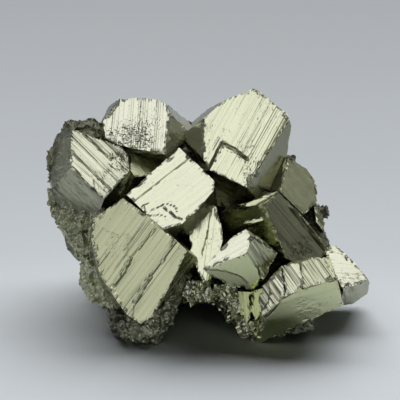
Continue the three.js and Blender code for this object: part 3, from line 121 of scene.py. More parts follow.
KNOBS = [
    [-35.03, 18.48, 29.39, 6.8, 35, 24, -24],
    [-24.65, 26.23, 29.72, 5.4, 33, -44, 28],
    [10.17, 24.3, 13.64, 7.6, -2, -17, -19],
    [-8.91, 24.13, 9.41, 5.1, -4, 0, 4],
    [-21.0, 20.48, 16.44, 6.8, 44, -25, -30],
    [18.87, 20.87, 7.97, 4.2, -41, 1, -3],
    [-28.44, 16.38, 9.36, 6.8, 1, 0, -22],
    [-27.91, 16.38, 28.07, 4.1, -27, 17, -26],
    [29.2, 0.14, 6.73, 5.7, -44, 29, -31],
    [4.03, 30.46, 6.77, 5.2, 34, 0, 31],
    [-11.39, 26.46, 35.84, 6.4, 0, 33, -12],
    [-32.92, 1.45, 9.52, 6.7, -39, -10, -15],
    [-2.63, 28.84, 27.19, 4.7, 28, -10, 43],
    [15.5, 21.43, 27.4, 6.9, 15, -31, -5],
    [-17.0, 29.96, 35.09, 5.1, -8, -36, 42],
    [-10.64, 28.21, 21.19, 8.3, 36, 6, -31],
    [7.0, 27.51, 38.0, 4.9, 38, 4, -28],
    [-35.05, 22.68, 37.58, 6.9, 6, -11, -8],
    [10.73, 23.95, 4.89, 7.9, -2, 4, -16],
    [-0.86, 28.07, 39.9, 4.1, -33, 42, 14],
    [-41.06, 17.06, 25.54, 6.4, 33, -14, 8],
    [34.48, 1.42, 19.77, 3.3, 28, -43, 11],
    [33.53, 6.53, 12.38, 7.3, -24, -27, -12],
    [8.02, 25.6, 31.44, 5.6, 40, 6, -14],
    [-25.32, -28.89, 4.62, 6.0, 43, 1, 1],
    [-16.47, 18.64, 3.42, 5.9, 34, -7, 38],
    [-25.26, -9.06, 6.7, 4.3, -6, 1, 40],
    [33.44, 8.41, 18.08, 3.0, 27, 15, 19],
    [22.8, -4.94, 3.14, 4.9, -40, -25, 37],
    [5.07, 23.67, 22.21, 4.5, 9, -1, 8],
    [31.31, 10.19, 23.63, 4.1, -3, 11, 12],
    [26.14, 14.73, 17.44, 7.7, 20, -34, 37],
    [23.68, 25.29, 24.84, 4.8, 6, -41, 8],
    [-21.94, 22.01, 24.76, 4.9, 6, -41, 27],
    [-42.66, 24.98, 35.29, 4.5, 11, 26, -16],
    [-6.05, 22.94, 4.05, 4.9, 6, 12, 9],
    [30.77, 13.88, 10.43, 7.0, 11, 29, 27],
    [17.43, 20.76, 14.61, 4.7, -42, 13, -25],
    [-37.75, 25.93, 44.43, 6.5, 40, -10, -22],
    [-4.98, 29.65, 43.14, 4.6, 14, 29, -11],
    [-22.57, 27.71, 43.37, 7.2, -36, 20, 24],
    [-29.95, 8.57, 17.94, 7.8, 3, -10, 4],
    [24.34, 12.34, 37.38, 5.7, -32, 23, 44],
    [-30.5, -8.61, 7.23, 4.7, 19, 29, 37],
    [0.33, 26.15, 12.05, 5.4, -16, 19, -4],
    [35.99, 7.16, 24.01, 4.0, -1, -28, 15],
    [28.53, 17.85, 24.22, 4.3, -23, -3, 34],
    [-41.26, 9.37, 20.67, 7.1, 30, -14, 15],
    [31.55, 6.44, 27.4, 3.8, -37, 5, 5],
    [24.11, 6.9, 10.15, 7.6, -3, 10, 28],
    [-18.27, 28.95, 28.97, 5.7, 31, 25, -4],
    [-21.06, 20.19, 9.06, 4.2, -9, 32, 7],
    [-29.98, 16.08, 19.98, 4.9, -7, 29, 29],
    [21.05, 19.25, 20.02, 4.3, 16, -22, 12],
    [-1.43, 25.82, 3.34, 4.8, 10, -8, -7],
    [-25.97, 26.22, 36.9, 4.2, 14, 9, 24],
    [31.99, 12.67, 18.36, 3.6, 14, 16, 6],
    [-16.26, 22.42, 9.68, 4.6, -28, -17, -4],
    [22.43, 21.94, 33.86, 4.0, 25, -22, -32],
    [-0.68, 31.62, 17.95, 4.5, 1, -41, 4],
    [27.51, -29.06, 4.52, 5.8, -20, -11, 3],
    [11.38, 24.68, 23.33, 4.6, -3, -12, 7],
    [-10.4, 27.89, 30.35, 4.3, -22, -43, 3],
    [-43.2, 21.15, 30.63, 4.4, -34, 22, -4],
]


# ---------------------------------------------------------------- numbers
def hashed(*ints):
    """A repeatable value from 0 to 1 for each set of whole numbers."""
    h = np.zeros(np.broadcast(*ints).shape, np.uint64) + np.uint64(0x9E3779B97F4A7C15)
    for i, v in enumerate(ints):
        h ^= (np.asarray(v).astype(np.int64).astype(np.uint64) + np.uint64(0x632BE59BD9B4E019 + i)) * np.uint64(0xBF58476D1CE4E5B9)
        h ^= h >> np.uint64(29)
        h *= np.uint64(0x94D049BB133111EB)
        h ^= h >> np.uint64(32)
    return (h >> np.uint64(11)).astype(float) / float(1 << 53)


def noise3(p, seed=0):
    """Smooth value noise from 0 to 1 at points p (n, 3)."""
    f = np.floor(p)
    i = f.astype(np.int64)
    t = p - f
    t = t * t * (3 - 2 * t)
    out = 0
    for dx, dy, dz in itertools.product((0, 1), repeat=3):
        w = (t[:, 0] if dx else 1 - t[:, 0]) * (t[:, 1] if dy else 1 - t[:, 1]) * (t[:, 2] if dz else 1 - t[:, 2])
        out = out + w * hashed(i[:, 0] + dx, i[:, 1] + dy, i[:, 2] + dz, seed)
    return out


def fbm(p, seed=0, octaves=3):
    total, size, s = 0.0, 1.0, 0.0
    for k in range(octaves):
        total = total + size * noise3(p * 2.0**k, seed + 17 * k)
        s += size
        size *= 0.5
    return total / s


def smooth(a, b, x):
    t = np.clip((x - a) / (b - a), 0, 1)
    return t * t * (3 - 2 * t)


def unit(v):
    v = np.asarray(v, float)
    return v / np.linalg.norm(v)


# ---------------------------------------------------------------- convex crystals
def main_axes(facing):
    n = unit(facing)
    up = np.array([0, 0, 1.0])
    up = unit(up - (up @ n) * n)
    return np.cross(up, n), up, n


def half_spaces(c):
    right, up, n = main_axes(c["facing"])
    at = np.array(c["at"], float)
    planes = [(n, n @ at), (-n, c["depth"] - n @ at)]
    corners = [at + u * right + v * up for u, v in c["outline"]]
    for i, a in enumerate(corners):
        b = corners[(i + 1) % len(corners)]
        outward = np.cross(unit(b - a), n)
        lean = math.radians(c["flare"][i])
        m = math.cos(lean) * outward + math.sin(lean) * n
        planes.append((m, m @ a))
    for x, y, z, d in c["cuts"]:
        length = math.sqrt(x * x + y * y + z * z)
        planes.append((np.array([x, y, z]) / length, d / length))
    return np.array([p[0] for p in planes]), np.array([p[1] for p in planes])


def block_spaces(at, size, turn):
    a, b, c = [math.radians(t) for t in turn]
    r = (Matrix.Rotation(c, 3, "Z") @ Matrix.Rotation(b, 3, "Y") @ Matrix.Rotation(a, 3, "X"))
    r = np.array(r)
    normals = np.concatenate([r.T, -r.T])
    half = np.array(list(size) * 2) / 2
    return normals, half + normals @ np.array(at, float)


def faces_of(normals, offsets):
    """For each plane, the corners of its face in order, counter-clockwise seen from outside, or None."""
    found = []
    for i, j, k in itertools.combinations(range(len(normals)), 3):
        m = normals[[i, j, k]]
        if abs(np.linalg.det(m)) < 1e-3:
            continue
        p = np.linalg.solve(m, offsets[[i, j, k]])
        if (normals @ p <= offsets + 1e-4).all() and not any(np.linalg.norm(p - q) < 0.02 for q in found):
            found.append(p)
    points = np.array(found)
    faces = []
    for n, d in zip(normals, offsets):
        on = points[np.abs(points @ n - d) < 0.012]
        if len(on) < 3:
            faces.append(None)
            continue
        mid = on.mean(0)
        u = unit(on[0] - mid)
        v = np.cross(n, u)
        order = np.argsort(np.arctan2((on - mid) @ v, (on - mid) @ u))
        faces.append(on[order])
    return faces


# ---------------------------------------------------------------- growth relief
def ridge_profile(rng, low, high, width):
    """Knots (s, z) of prisms side by side, as where two faces take turns: each rises one way and falls the other."""
    s, z = [low - 0.4], [0.0]
    sign = 1
    while s[-1] < high + 0.4:
        w = float(np.clip(width * rng.lognormal(-0.3, 0.5), 0.12, 2.2))
        k = sign * rng.uniform(0.02, 0.22)
        nz = z[-1] + k * w
        if abs(nz) > 0.40:
            nz = math.copysign(0.40, nz)
        s.append(s[-1] + w)
        z.append(nz)
        sign = -sign if rng.random() < 0.8 else sign
    return np.array(s), np.array(z)


def strip_profile(rng, low, high, width, steep=0.16, tilt=0.05):
    """Knots (s, z) of a piecewise straight profile across the striations: flat strips, tilted strips and narrow risers."""
    s, z = [low - 0.4], [0.0]
    while s[-1] < high + 0.4:
        r = rng.random()
        if r < steep:
            w, k = rng.uniform(0.07, 0.16), rng.choice([-1, 1]) * rng.uniform(0.5, 1.3)
        elif r < 0.5:
            w, k = width * rng.lognormal(-0.5, 0.45), rng.choice([-1, 1]) * rng.uniform(0.03, 0.16)
        else:
            w, k = width * rng.lognormal(0.0, 0.5), rng.normal(0, tilt * 0.35)
        w = float(np.clip(w, 0.07, 2.4))
        nz = z[-1] + k * w
        if nz > 0.14 or nz < -0.14:
            k = -k
            nz = z[-1] + k * w
        s.append(s[-1] + w)
        z.append(float(np.clip(nz, -0.2, 0.2)))
    return np.array(s), np.array(z)


def line_distance(uv, line):
    """Distance of each point to an open polyline."""
    best = np.full(len(uv), 1e9)
    for a, b in zip(line[:-1], line[1:]):
        a, b = np.array(a), np.array(b)
        d = b - a
        t = np.clip(((uv - a) @ d) / (d @ d), 0, 1)
        best = np.minimum(best, np.linalg.norm(uv - a - t[:, None] * d, axis=1))
    return best


def inside_area(uv, area):
    """Signed depth inside a simple polygon: above 0 inside."""
    area = np.array(area, float)
    hit = np.zeros(len(uv), bool)
    for a, b in zip(area, np.roll(area, -1, 0)):
        cross = (a[1] > uv[:, 1]) != (b[1] > uv[:, 1])
        with np.errstate(divide="ignore", invalid="ignore"):
            x = (b[0] - a[0]) * (uv[:, 1] - a[1]) / (b[1] - a[1]) + a[0]
        hit ^= cross & (uv[:, 0] < x)
    edge = line_distance(uv, list(area) + [area[0]])
    return np.where(hit, edge, -edge)


class Face:
    """One face of a crystal: its own axes, its cut lines and its relief, which is how far each point sinks."""

    def __init__(self, crystal, index, normal, offset, corners, along, amp, width, fine, seed, main=False, origin=None, axes=None, rough=0.0, wear=1.0):
        self.index, self.n, self.d, self.corners = index, normal, offset, corners
        self.t = unit(np.asarray(along) - (np.asarray(along) @ normal) * normal)
        self.s = np.cross(normal, self.t)
        self.amp, self.main, self.c, self.rough, self.wear = amp, main, crystal, rough, wear
        self.origin, self.axes = origin, axes
        rng = np.random.default_rng(seed)
        self.seed = int(seed)
        cs, ct = corners @ self.s, corners @ self.t
        self.knots, self.z = strip_profile(rng, cs.min(), cs.max(), width, steep=0.2 if amp > 0.4 else 0.08)
        self.knots2, self.z2 = strip_profile(rng, cs.min(), cs.max(), width * 1.7)
        if amp >= 2:
            self.knots, self.z = ridge_profile(rng, cs.min(), cs.max(), width)
            self.z = self.z * (amp - 1.0) / amp
            self.z2 = self.z2 * 0.3 / amp
        self.craggy = rough > 1.0
        lo, hi = cs.min() + 0.05, cs.max() - 0.05
        lines = self.knots[(self.knots > lo) & (self.knots < hi)]
        if fine < 1:
            gap = (hi - lo) / max(2, int((hi - lo) / (width / max(fine, 0.05))))
            lines = np.arange(lo + gap, hi, gap)
        keep = []
        for v in lines:
            if not keep or v - keep[-1] > 0.045:
                keep.append(v)
        zones = []
        if main and crystal is not None:
            for u0, v0, u1, v1, count, k in crystal["pits"]:
                q = np.array([origin + u * axes[0] + v * axes[1] for u, v in ((u0, v0), (u1, v0), (u1, v1), (u0, v1))])
                zones.append(((q @ self.s).min(), (q @ self.s).max(), (q @ self.t).min(), (q @ self.t).max()))
        if fine >= 1:  # wide strips get lines inside them, so that pits and broken edges have something to bend
            extra = []
            for a, b in zip([lo] + keep, keep + [hi]):
                pitted = any(z[0] < b and a < z[1] for z in zones)
                n = int((b - a) / (0.36 if pitted else 0.5 if main or self.craggy else 0.7))
                extra += [a + (b - a) * (k + 1) / (n + 1) for k in range(n)]
            keep = sorted(keep + extra)
        self.s_lines = np.array(keep)
        v, th, ts = ct.min() + 0.3, ct.max() - 0.3, []
        while v < th:
            pitted = any(z[2] < v < z[3] for z in zones)
            v += (0.5 if pitted else 0.6 if self.craggy else 0.85 if main else 1.3 if fine >= 1 else 2.4) * rng.uniform(0.8, 1.2)
            ts.append(v)
        self.t_lines = np.array([v for v in ts if v < th])

    def relief(self, p):
        """How far each point p (n, 3) of this face sinks below it, in mm."""
        s, t = p @ self.s, p @ self.t
        low = np.stack([s / 7.0, t / 11.0, np.full(len(s), self.seed % 97 + 0.5)], 1)
        mask = smooth(0.25, 0.6, noise3(np.stack([s / 2.2, t / 9.0, np.full(len(s), self.seed % 89 + 0.5)], 1), self.seed))
        mask2 = smooth(0.35, 0.65, noise3(np.stack([s / 3.1 + 9, t / 6.0, np.full(len(s), 3.5)], 1), self.seed + 5))
        strips = np.interp(s, self.knots, self.z) * (0.35 + 0.65 * mask) + np.interp(s, self.knots2, self.z2) * mask2 * 0.8
        h = 0.06 * self.amp - strips * self.amp
        h = h + 0.10 * (fbm(low, self.seed + 1, 2) - 0.5)
        if abs(self.rough) > 0:
            h = h + abs(self.rough) * (0.55 * (fbm(p / 2.4, 61, 3) - 0.42) + 0.30 * smooth(0.6, 0.85, fbm(p / 1.0, 67, 2)))
        if self.craggy:
            h = h - 0.9 * grain_relief(p, 3.4, 0.42, 23) - 0.8 * grain_relief(p, 1.7, 0.36, 24) + 1.1 * (fbm(p / 4.2, 71, 3) - 0.5)
            return np.clip(h, -0.9, 2.2)
        calm = np.zeros(len(s))
        c = self.c
        if self.main and c is not None:
            uv = np.stack([(p - self.origin) @ self.axes[0], (p - self.origin) @ self.axes[1]], 1)
            for z in c["calm"]:
                inside = inside_area(uv, z["area"]) + 0.9 * (noise3(p / 2.5, 3) - 0.5)
                calm = np.maximum(calm, z["calm"] * smooth(-0.3, 0.8, inside))
            h = 0.04 * self.amp * calm + h * (1 - calm)
            wob = 0.9 * (noise3(p / 1.3, 21) - 0.5)
            for plate in c["plates"]:
                inside = inside_area(uv + wob[:, None] * 0.35, plate["area"])
                h = h + plate["deep"] * smooth(-0.10, 0.16, inside)
            for g in c["grooves"]:
                dist = line_distance(uv, g["line"]) + 0.25 * wob * g["half"]
                h = h + g["deep"] * (1 - smooth(0.25 * g["half"], g["half"], dist))
            for u0, v0, u1, v1, count, k in c["pits"]:
                side = np.minimum.reduce([uv[:, 0] - u0, u1 - uv[:, 0], uv[:, 1] - v0, v1 - uv[:, 1]])
                zone = smooth(-0.6, 1.4, side + 2.4 * (noise3(p / 1.9, 83) - 0.5))
                holes = fbm(np.stack([s / 0.62, t / 1.05, np.full(len(s), 0.5 + count)], 1), 91, 2)
                crust = fbm(np.stack([s / 1.7, t / 2.6, np.full(len(s), 0.5 + count)], 1), 93, 2)
                h = h + abs(k) * zone * (0.06 * smooth(0.53, 0.66, holes) + 0.12 * np.floor(6 * crust) / 3 - 0.05)
        return np.clip(h, -0.22 if self.amp < 2 else -0.7, 2.2)


    def marks(self, p):
        """At each point p (n, 3): how pitted the face is there, negative where the pits lie across, and how much its
        colour is darkened: painted shade along the grooves, a darker tone over the plates that have a darkening.
        """
        pock, groove_shade_and_tone = np.zeros(len(p)), np.zeros(len(p))
        if self.main and self.c is not None:
            c = self.c
            uv = np.stack([(p - self.origin) @ self.axes[0], (p - self.origin) @ self.axes[1]], 1)
            wob = 0.9 * (noise3(p / 1.3, 21) - 0.5)
            # Painted shade along the grooves, and a darker tone over the plates that have a darkening.
            for g in c["grooves"]:
                dist = line_distance(uv, g["line"]) + 0.25 * wob * g["half"]
                groove_shade_and_tone = np.maximum(groove_shade_and_tone, g["darkening"] * (1 - smooth(0.25 * g["half"], 0.8 * g["half"], dist)) * smooth(0.2, 0.55, noise3(p / 2.1, 37)))
            for plate in c["plates"]:
                if plate["darkening"] > 0:
                    groove_shade_and_tone = np.maximum(groove_shade_and_tone, plate["darkening"] * smooth(-0.10, 0.16, inside_area(uv + wob[:, None] * 0.35, plate["area"])))
            for u0, v0, u1, v1, count, k in c["pits"]:
                side = np.minimum.reduce([uv[:, 0] - u0, u1 - uv[:, 0], uv[:, 1] - v0, v1 - uv[:, 1]])
                zone = smooth(-1.2, 1.2, side + 2.4 * (noise3(p / 1.9, 83) - 0.5)) * min(1.0, abs(k))
                pock = np.where(zone > np.abs(pock), math.copysign(1, k) * zone, pock)
        return pock, groove_shade_and_tone


def build_solid(name, normals, offsets, face_list):
    """The mesh of a convex crystal, with each face cut along its own lines and its relief sunk in. Points (n, 3), polygons, face ids."""
    corners = {f.index: f.corners for f in face_list}
    by_index = {f.index: f for f in face_list}
    pairs = {}
    for i, pts in corners.items():
        for a, b in zip(pts, np.roll(pts, -1, 0)):
            best = None
            for j, ring in corners.items():
                if j == i:
                    continue
                miss = max(np.linalg.norm(ring - a, axis=1).min(), np.linalg.norm(ring - b, axis=1).min())
                if best is None or miss < best[0]:
                    best = (miss, j)
            pairs[(i, tuple(a), tuple(b))] = best[1] if best[0] < 0.05 else None
    whole = bmesh.new()
    layer = whole.faces.layers.int.new("fid")
    for i, pts in corners.items():
        f = by_index[i]
        ring = []
        for a, b in zip(pts, np.roll(pts, -1, 0)):
            ring.append(a)
            j = pairs[(i, tuple(a), tuple(b))]
            first, last = (a, b) if tuple(a) < tuple(b) else (b, a)
            us = []
            for g in [f] + ([by_index[j]] if j is not None else []):
                for axis, lines in ((g.s, g.s_lines), (g.t, g.t_lines)):
                    slope = axis @ (last - first)
                    if abs(slope) < 1e-9 or not len(lines):
                        continue
                    u = (lines - axis @ first) / slope
                    us += [x for x in u if 0.004 < x < 0.996]
            us = sorted(us)
            long = np.linalg.norm(last - first)
            kept = []
            for x in us:
                if not kept or (x - kept[-1]) * long > 2e-4:
                    kept.append(x)
            chain = [first + x * (last - first) for x in kept]
            if first is b:
                chain = chain[::-1]
            ring += chain
        part = bmesh.new()
        part.faces.new([part.verts.new(p) for p in ring])
        for axis, lines in ((f.s, f.s_lines), (f.t, f.t_lines)):
            no = Vector(axis)
            for v in lines:
                bmesh.ops.bisect_plane(part, geom=part.verts[:] + part.edges[:] + part.faces[:], dist=1e-4, plane_co=no * float(v), plane_no=no)
        made = {}
        for v in part.verts:
            made[v.index if v.index >= 0 else id(v)] = None
        part.verts.index_update()
        verts = [whole.verts.new(v.co) for v in part.verts]
        for p in part.faces:
            q = whole.faces.new([verts[v.index] for v in p.verts])
            q[layer] = i
        part.free()
    bmesh.ops.remove_doubles(whole, verts=whole.verts[:], dist=6e-4)
    bmesh.ops.dissolve_degenerate(whole, edges=whole.edges[:], dist=1e-5)
    open_edges = [e for e in whole.edges if not e.is_manifold]
    if open_edges:
        print("open edges in", name, len(open_edges))
        bmesh.ops.holes_fill(whole, edges=open_edges, sides=12)
    bmesh.ops.recalc_face_normals(whole, faces=whole.faces[:])
    whole.verts.index_update()
    points = np.array([v.co[:] for v in whole.verts])
    polygons = [[v.index for v in p.verts] for p in whole.faces]
    ids = [p[layer] for p in whole.faces]
    whole.free()
    # Sink each point: on one face along its normal, on an edge or corner so that every face there gets its own depth.
    idx = [f.index for f in face_list]
    nn, dd = normals[idx], offsets[idx]
    gap = dd[None, :] - points @ nn.T
    on = gap < 0.015
    sink = np.zeros((len(points), len(idx)))
    for k, f in enumerate(face_list):
        rows = np.where(on[:, k])[0]
        if not len(rows):
            continue
        p = points[rows]
        h = f.relief(p)
        others = [m for m in range(len(idx)) if m != k]
        edge = gap[rows][:, others] / np.maximum(0.25, np.sqrt(np.maximum(1e-6, 1 - (nn[others] @ nn[k]) ** 2)))
        near = edge.min(1)
        chip = smooth(0.45, 0.80, fbm(p / 0.9, 31, 2)) * (1 - smooth(0.0, 0.8, near)) * 0.34
        big = smooth(0.66, 0.86, noise3(p / 2.6, 47)) * (1 - smooth(0.0, 1.5, near)) * 0.5
        sink[rows, k] = h + (chip + big) * f.wear
    moved = points.copy()
    codes = on @ (1 << np.arange(len(idx), dtype=np.int64))
    for code in np.unique(codes):
        rows = np.where(codes == code)[0]
        ks = [k for k in range(len(idx)) if code >> k & 1]
        if not ks:
            continue
        a = nn[ks]
        solve = a.T @ np.linalg.inv(a @ a.T + 0.04 * np.eye(len(ks)))
        if len(ks) == 1:
            solve = a.T
        moved[rows] -= sink[rows][:, ks] @ solve.T
    return moved, polygons, ids


def mesh_object(name, points, polygons, ids):
    me = bpy.data.meshes.new(name)
    me.from_pydata([tuple(p) for p in points], [], polygons)
    me.update()
    a = me.attributes.new("fid", "INT", "FACE")
    a.data.foreach_set("value", np.array(ids, np.int32))
    o = bpy.data.objects.new(name, me)
    bpy.context.scene.collection.objects.link(o)
    return o


def join_solids(base, tool):
    """base becomes the union of the two, and tool goes."""
    md = base.modifiers.new("join", "BOOLEAN")
    md.operation, md.solver, md.object = "UNION", "MANIFOLD", tool
    dg = bpy.context.evaluated_depsgraph_get()
    made = bpy.data.meshes.new_from_object(base.evaluated_get(dg), preserve_all_data_layers=True, depsgraph=dg)
    base.modifiers.clear()
    if len(made.polygons) < 10 or len(made.polygons) == len(base.data.polygons):
        print("join failed for", tool.name)
    else:
        old = base.data
        base.data = made
        bpy.data.meshes.remove(old)
    data = tool.data
    bpy.data.objects.remove(tool)
    bpy.data.meshes.remove(data)


FACES = {}  # face id -> its look: striation axes, strength, roughness, tint, clouding
SLOTS = 64  # face ids kept for each solid


def crystal_faces(number, normals, polys, c):
    """The faces of a crystal, a block (c has only its look) or a rock lump, each with its look."""
    n0 = normals[0]
    right, up, _ = main_axes(n0)
    if "along" in c:
        along = c["along"][0] * right + c["along"][1] * up
        origin = np.array(c["at"], float)
    else:
        along = unit(np.cross(n0, normals[1] + 0.01))
        origin = polys[0].mean(0)
    across = np.cross(n0, along)
    amp, width = c["amp"], c["width"]
    out = []
    for i, pts in enumerate(polys):
        if pts is None:
            continue
        seed = number * 1009 + i * 31 + 7
        n = normals[i]
        hue = c["tint"]
        rough, a, w, fine, direction, dark = c.get("side_rough", 0.25), amp * 0.8, max(0.6, width), c.get("fine", 1.0), along, c.get("dark", 0.0)
        if i == 0 and "along" in c:
            dark = c.get("main_dark", 0.0)
            f = Face(c, i, n, offsets_of(c, i, n, pts), pts, along, amp, width, 1.0, seed, True, origin, (right, up), c.get("rough", 0.0))
        else:
            # On a cube the striations of each face run across those of its neighbours.
            if abs(n @ n0) < 0.8:
                direction = n0 if abs(n @ across) > abs(n @ along) else across
            if "along" in c and i == 1:
                a, w, fine = 0.2, 2.0, 0.3
            for s in c.get("sides", []):
                if np.array(s["facing"]) @ n > 0.985:
                    a, w, rough, dark, hue = s["amp"], s["width"], s["rough"], s["dark"], s.get("tint", hue)
                    if s["along"] is not None:
                        direction = np.array(s["along"])
            f = Face(None, i, n, offsets_of(c, i, n, pts), pts, direction, a, w, fine, seed, rough=rough, wear=c.get("wear", 1.0))
        FACES[number * SLOTS + i] = dict(s=f.s, t=f.t, amp=f.amp, rough=c.get("look_rough", f.rough), tint=hue, cloud=c["cloud"], dark=dark, face=f)
        out.append(f)
    return out


def offsets_of(c, i, n, pts):
    return float(n @ pts.mean(0))


def make_crystal(number, name, normals, offsets, c):
    polys = faces_of(normals, offsets)
    fl = crystal_faces(number, normals, polys, c)
    points, polygons, ids = build_solid(name, normals, offsets, fl)
    return mesh_object(name, points, polygons, [number * SLOTS + i for i in ids])


def make_rock(number, name, corners, c):
    """A rough lump: the convex hull of its corners, faces kept flat and worn."""
    bm = bmesh.new()
    for p in corners:
        bm.verts.new(p)
    bmesh.ops.convex_hull(bm, input=bm.verts[:])
    bmesh.ops.delete(bm, geom=[v for v in bm.verts if not v.link_faces], context="VERTS")
    bmesh.ops.dissolve_limit(bm, angle_limit=math.radians(4), verts=bm.verts[:], edges=bm.edges[:])
    bmesh.ops.triangulate(bm, faces=bm.faces[:])
    bmesh.ops.recalc_face_normals(bm, faces=bm.faces[:])
    normals = [np.array(f.normal) for f in bm.faces]
    polys = [np.array([v.co[:] for v in f.verts]) for f in bm.faces]
    bm.free()
    order = sorted(range(len(polys)), key=lambda i: -np.linalg.norm(np.cross(polys[i][1] - polys[i][0], polys[i][2] - polys[i][0])))
    normals, polys = [normals[i] for i in order], [polys[i] for i in order]
    offsets = [float(n @ p.mean(0)) for n, p in zip(normals, polys)]
    normals, offsets = np.array(normals), np.array(offsets)
    fl = crystal_faces(number, normals, polys, c)
    points, polygons, ids = build_solid(name, normals, offsets, fl)
    return mesh_object(name, points, polygons, [number * SLOTS + i for i in ids])


# ---------------------------------------------------------------- granular matrix
def make_matrix(voxel):
    bm = bmesh.new()
    for pts in LUMPS:
        vs = [bm.verts.new(p) for p in pts]
        bmesh.ops.convex_hull(bm, input=vs)
        for v in [v for v in vs if v.is_valid and not v.link_faces]:
            bm.verts.remove(v)
    for x, y, z, edge, a, b, c in KNOBS:
        r = Matrix.Rotation(math.radians(c), 4, "Z") @ Matrix.Rotation(math.radians(b), 4, "Y") @ Matrix.Rotation(math.radians(a), 4, "X")
        bmesh.ops.create_cube(bm, size=edge, matrix=Matrix.Translation((x, y, z)) @ r)
    bmesh.ops.recalc_face_normals(bm, faces=bm.faces[:])
    me = bpy.data.meshes.new("matrix")
    bm.to_mesh(me)
    bm.free()
    o = bpy.data.objects.new("matrix", me)
    bpy.context.scene.collection.objects.link(o)
    md = o.modifiers.new("remesh", "REMESH")
    md.mode, md.voxel_size, md.adaptivity = "VOXEL", voxel, 0.0
    dg = bpy.context.evaluated_depsgraph_get()
    made = bpy.data.meshes.new_from_object(o.evaluated_get(dg), depsgraph=dg)
    o.modifiers.clear()
    o.data = made
    n = len(made.vertices)
    co = np.zeros(n * 3, np.float32)
    made.vertices.foreach_get("co", co)
    co = co.reshape(-1, 3).astype(float)
    no = np.zeros(n * 3, np.float32)
    made.vertices.foreach_get("normal", no)
    no = no.reshape(-1, 3).astype(float)
    grains = grain_relief(co, 3.0, 0.30, 11) + grain_relief(co, 1.5, 0.26, 12)
    rough = 0.45 * (fbm(co / 2.7, 5, 3) - 0.5)
    pits = -0.45 * smooth(0.62, 0.85, fbm(co / 1.6, 9, 2))
    co = co + no * (grains + rough + pits - 0.15)[:, None]
    made.vertices.foreach_set("co", co.astype(np.float32).ravel())
    made.update()
    a = made.attributes.get("fid") or made.attributes.new("fid", "INT", "FACE")
    a.data.foreach_set("value", np.full(len(made.polygons), -1, np.int32))
    return o


def grain_relief(p, size, slope, seed):
    """Tilted flat grains: each point rises by the plane of its nearest grain centre."""
    q = p / size
    base = np.floor(q).astype(np.int64)
    best = np.full(len(p), 1e9)
    out = np.zeros(len(p))
    for dx, dy, dz in itertools.product((-1, 0, 1), repeat=3):
        i = base + np.array([dx, dy, dz])
        c = i + np.stack([hashed(i[:, 0], i[:, 1], i[:, 2], seed + k) for k in range(3)], 1)
        d = np.abs(q - c).sum(1) + 0.4 * np.abs(q - c).max(1)
        tilt = np.stack([hashed(i[:, 0], i[:, 1], i[:, 2], seed + 50 + k) - 0.5 for k in range(3)], 1)
        tilt /= np.linalg.norm(tilt, axis=1, keepdims=True) + 1e-9
        lift = ((q - c) * tilt).sum(1) + 0.6 * (hashed(i[:, 0], i[:, 1], i[:, 2], seed + 90) - 0.5)
        m = d < best
        best[m] = d[m]
        out[m] = lift[m]
    return np.clip(out, -0.7, 0.7) * slope * size


def report(text):
    print("%6.1f s  %s" % (time.time() - START, text))


base_rock = make_matrix(0.80)
report("matrix %d" % len(base_rock.data.polygons))
number = 0
rng = np.random.default_rng(77)
for b in BLOCKS:
    n, d = block_spaces(b["at"], b["size"], b["turn"])
    c = dict(amp=float(rng.uniform(0.6, 1.2)), width=float(rng.uniform(0.7, 1.1)), tint=float(rng.uniform(0.0, 0.5)), cloud=float(rng.uniform(0.1, 0.6)), fine=0.5, side_rough=0.15)
    join_solids(base_rock, make_crystal(number, "b" + b["name"], n, d, c))
    number += 1
report("blocks %d" % len(base_rock.data.polygons))
for c in ROCKS:
    join_solids(base_rock, make_rock(number, "r" + c["name"], c["corners"], c))
    number += 1
report("rocks %d" % len(base_rock.data.polygons))
cluster = None
for c in CRYSTALS:
    n, d = half_spaces(c)
    tool = make_crystal(number, "c" + c["name"], n, d, c)
    number += 1
    if cluster is None:
        cluster = tool
    else:
        join_solids(cluster, tool)
    report("%s -> %d" % (c["name"], len(cluster.data.polygons)))


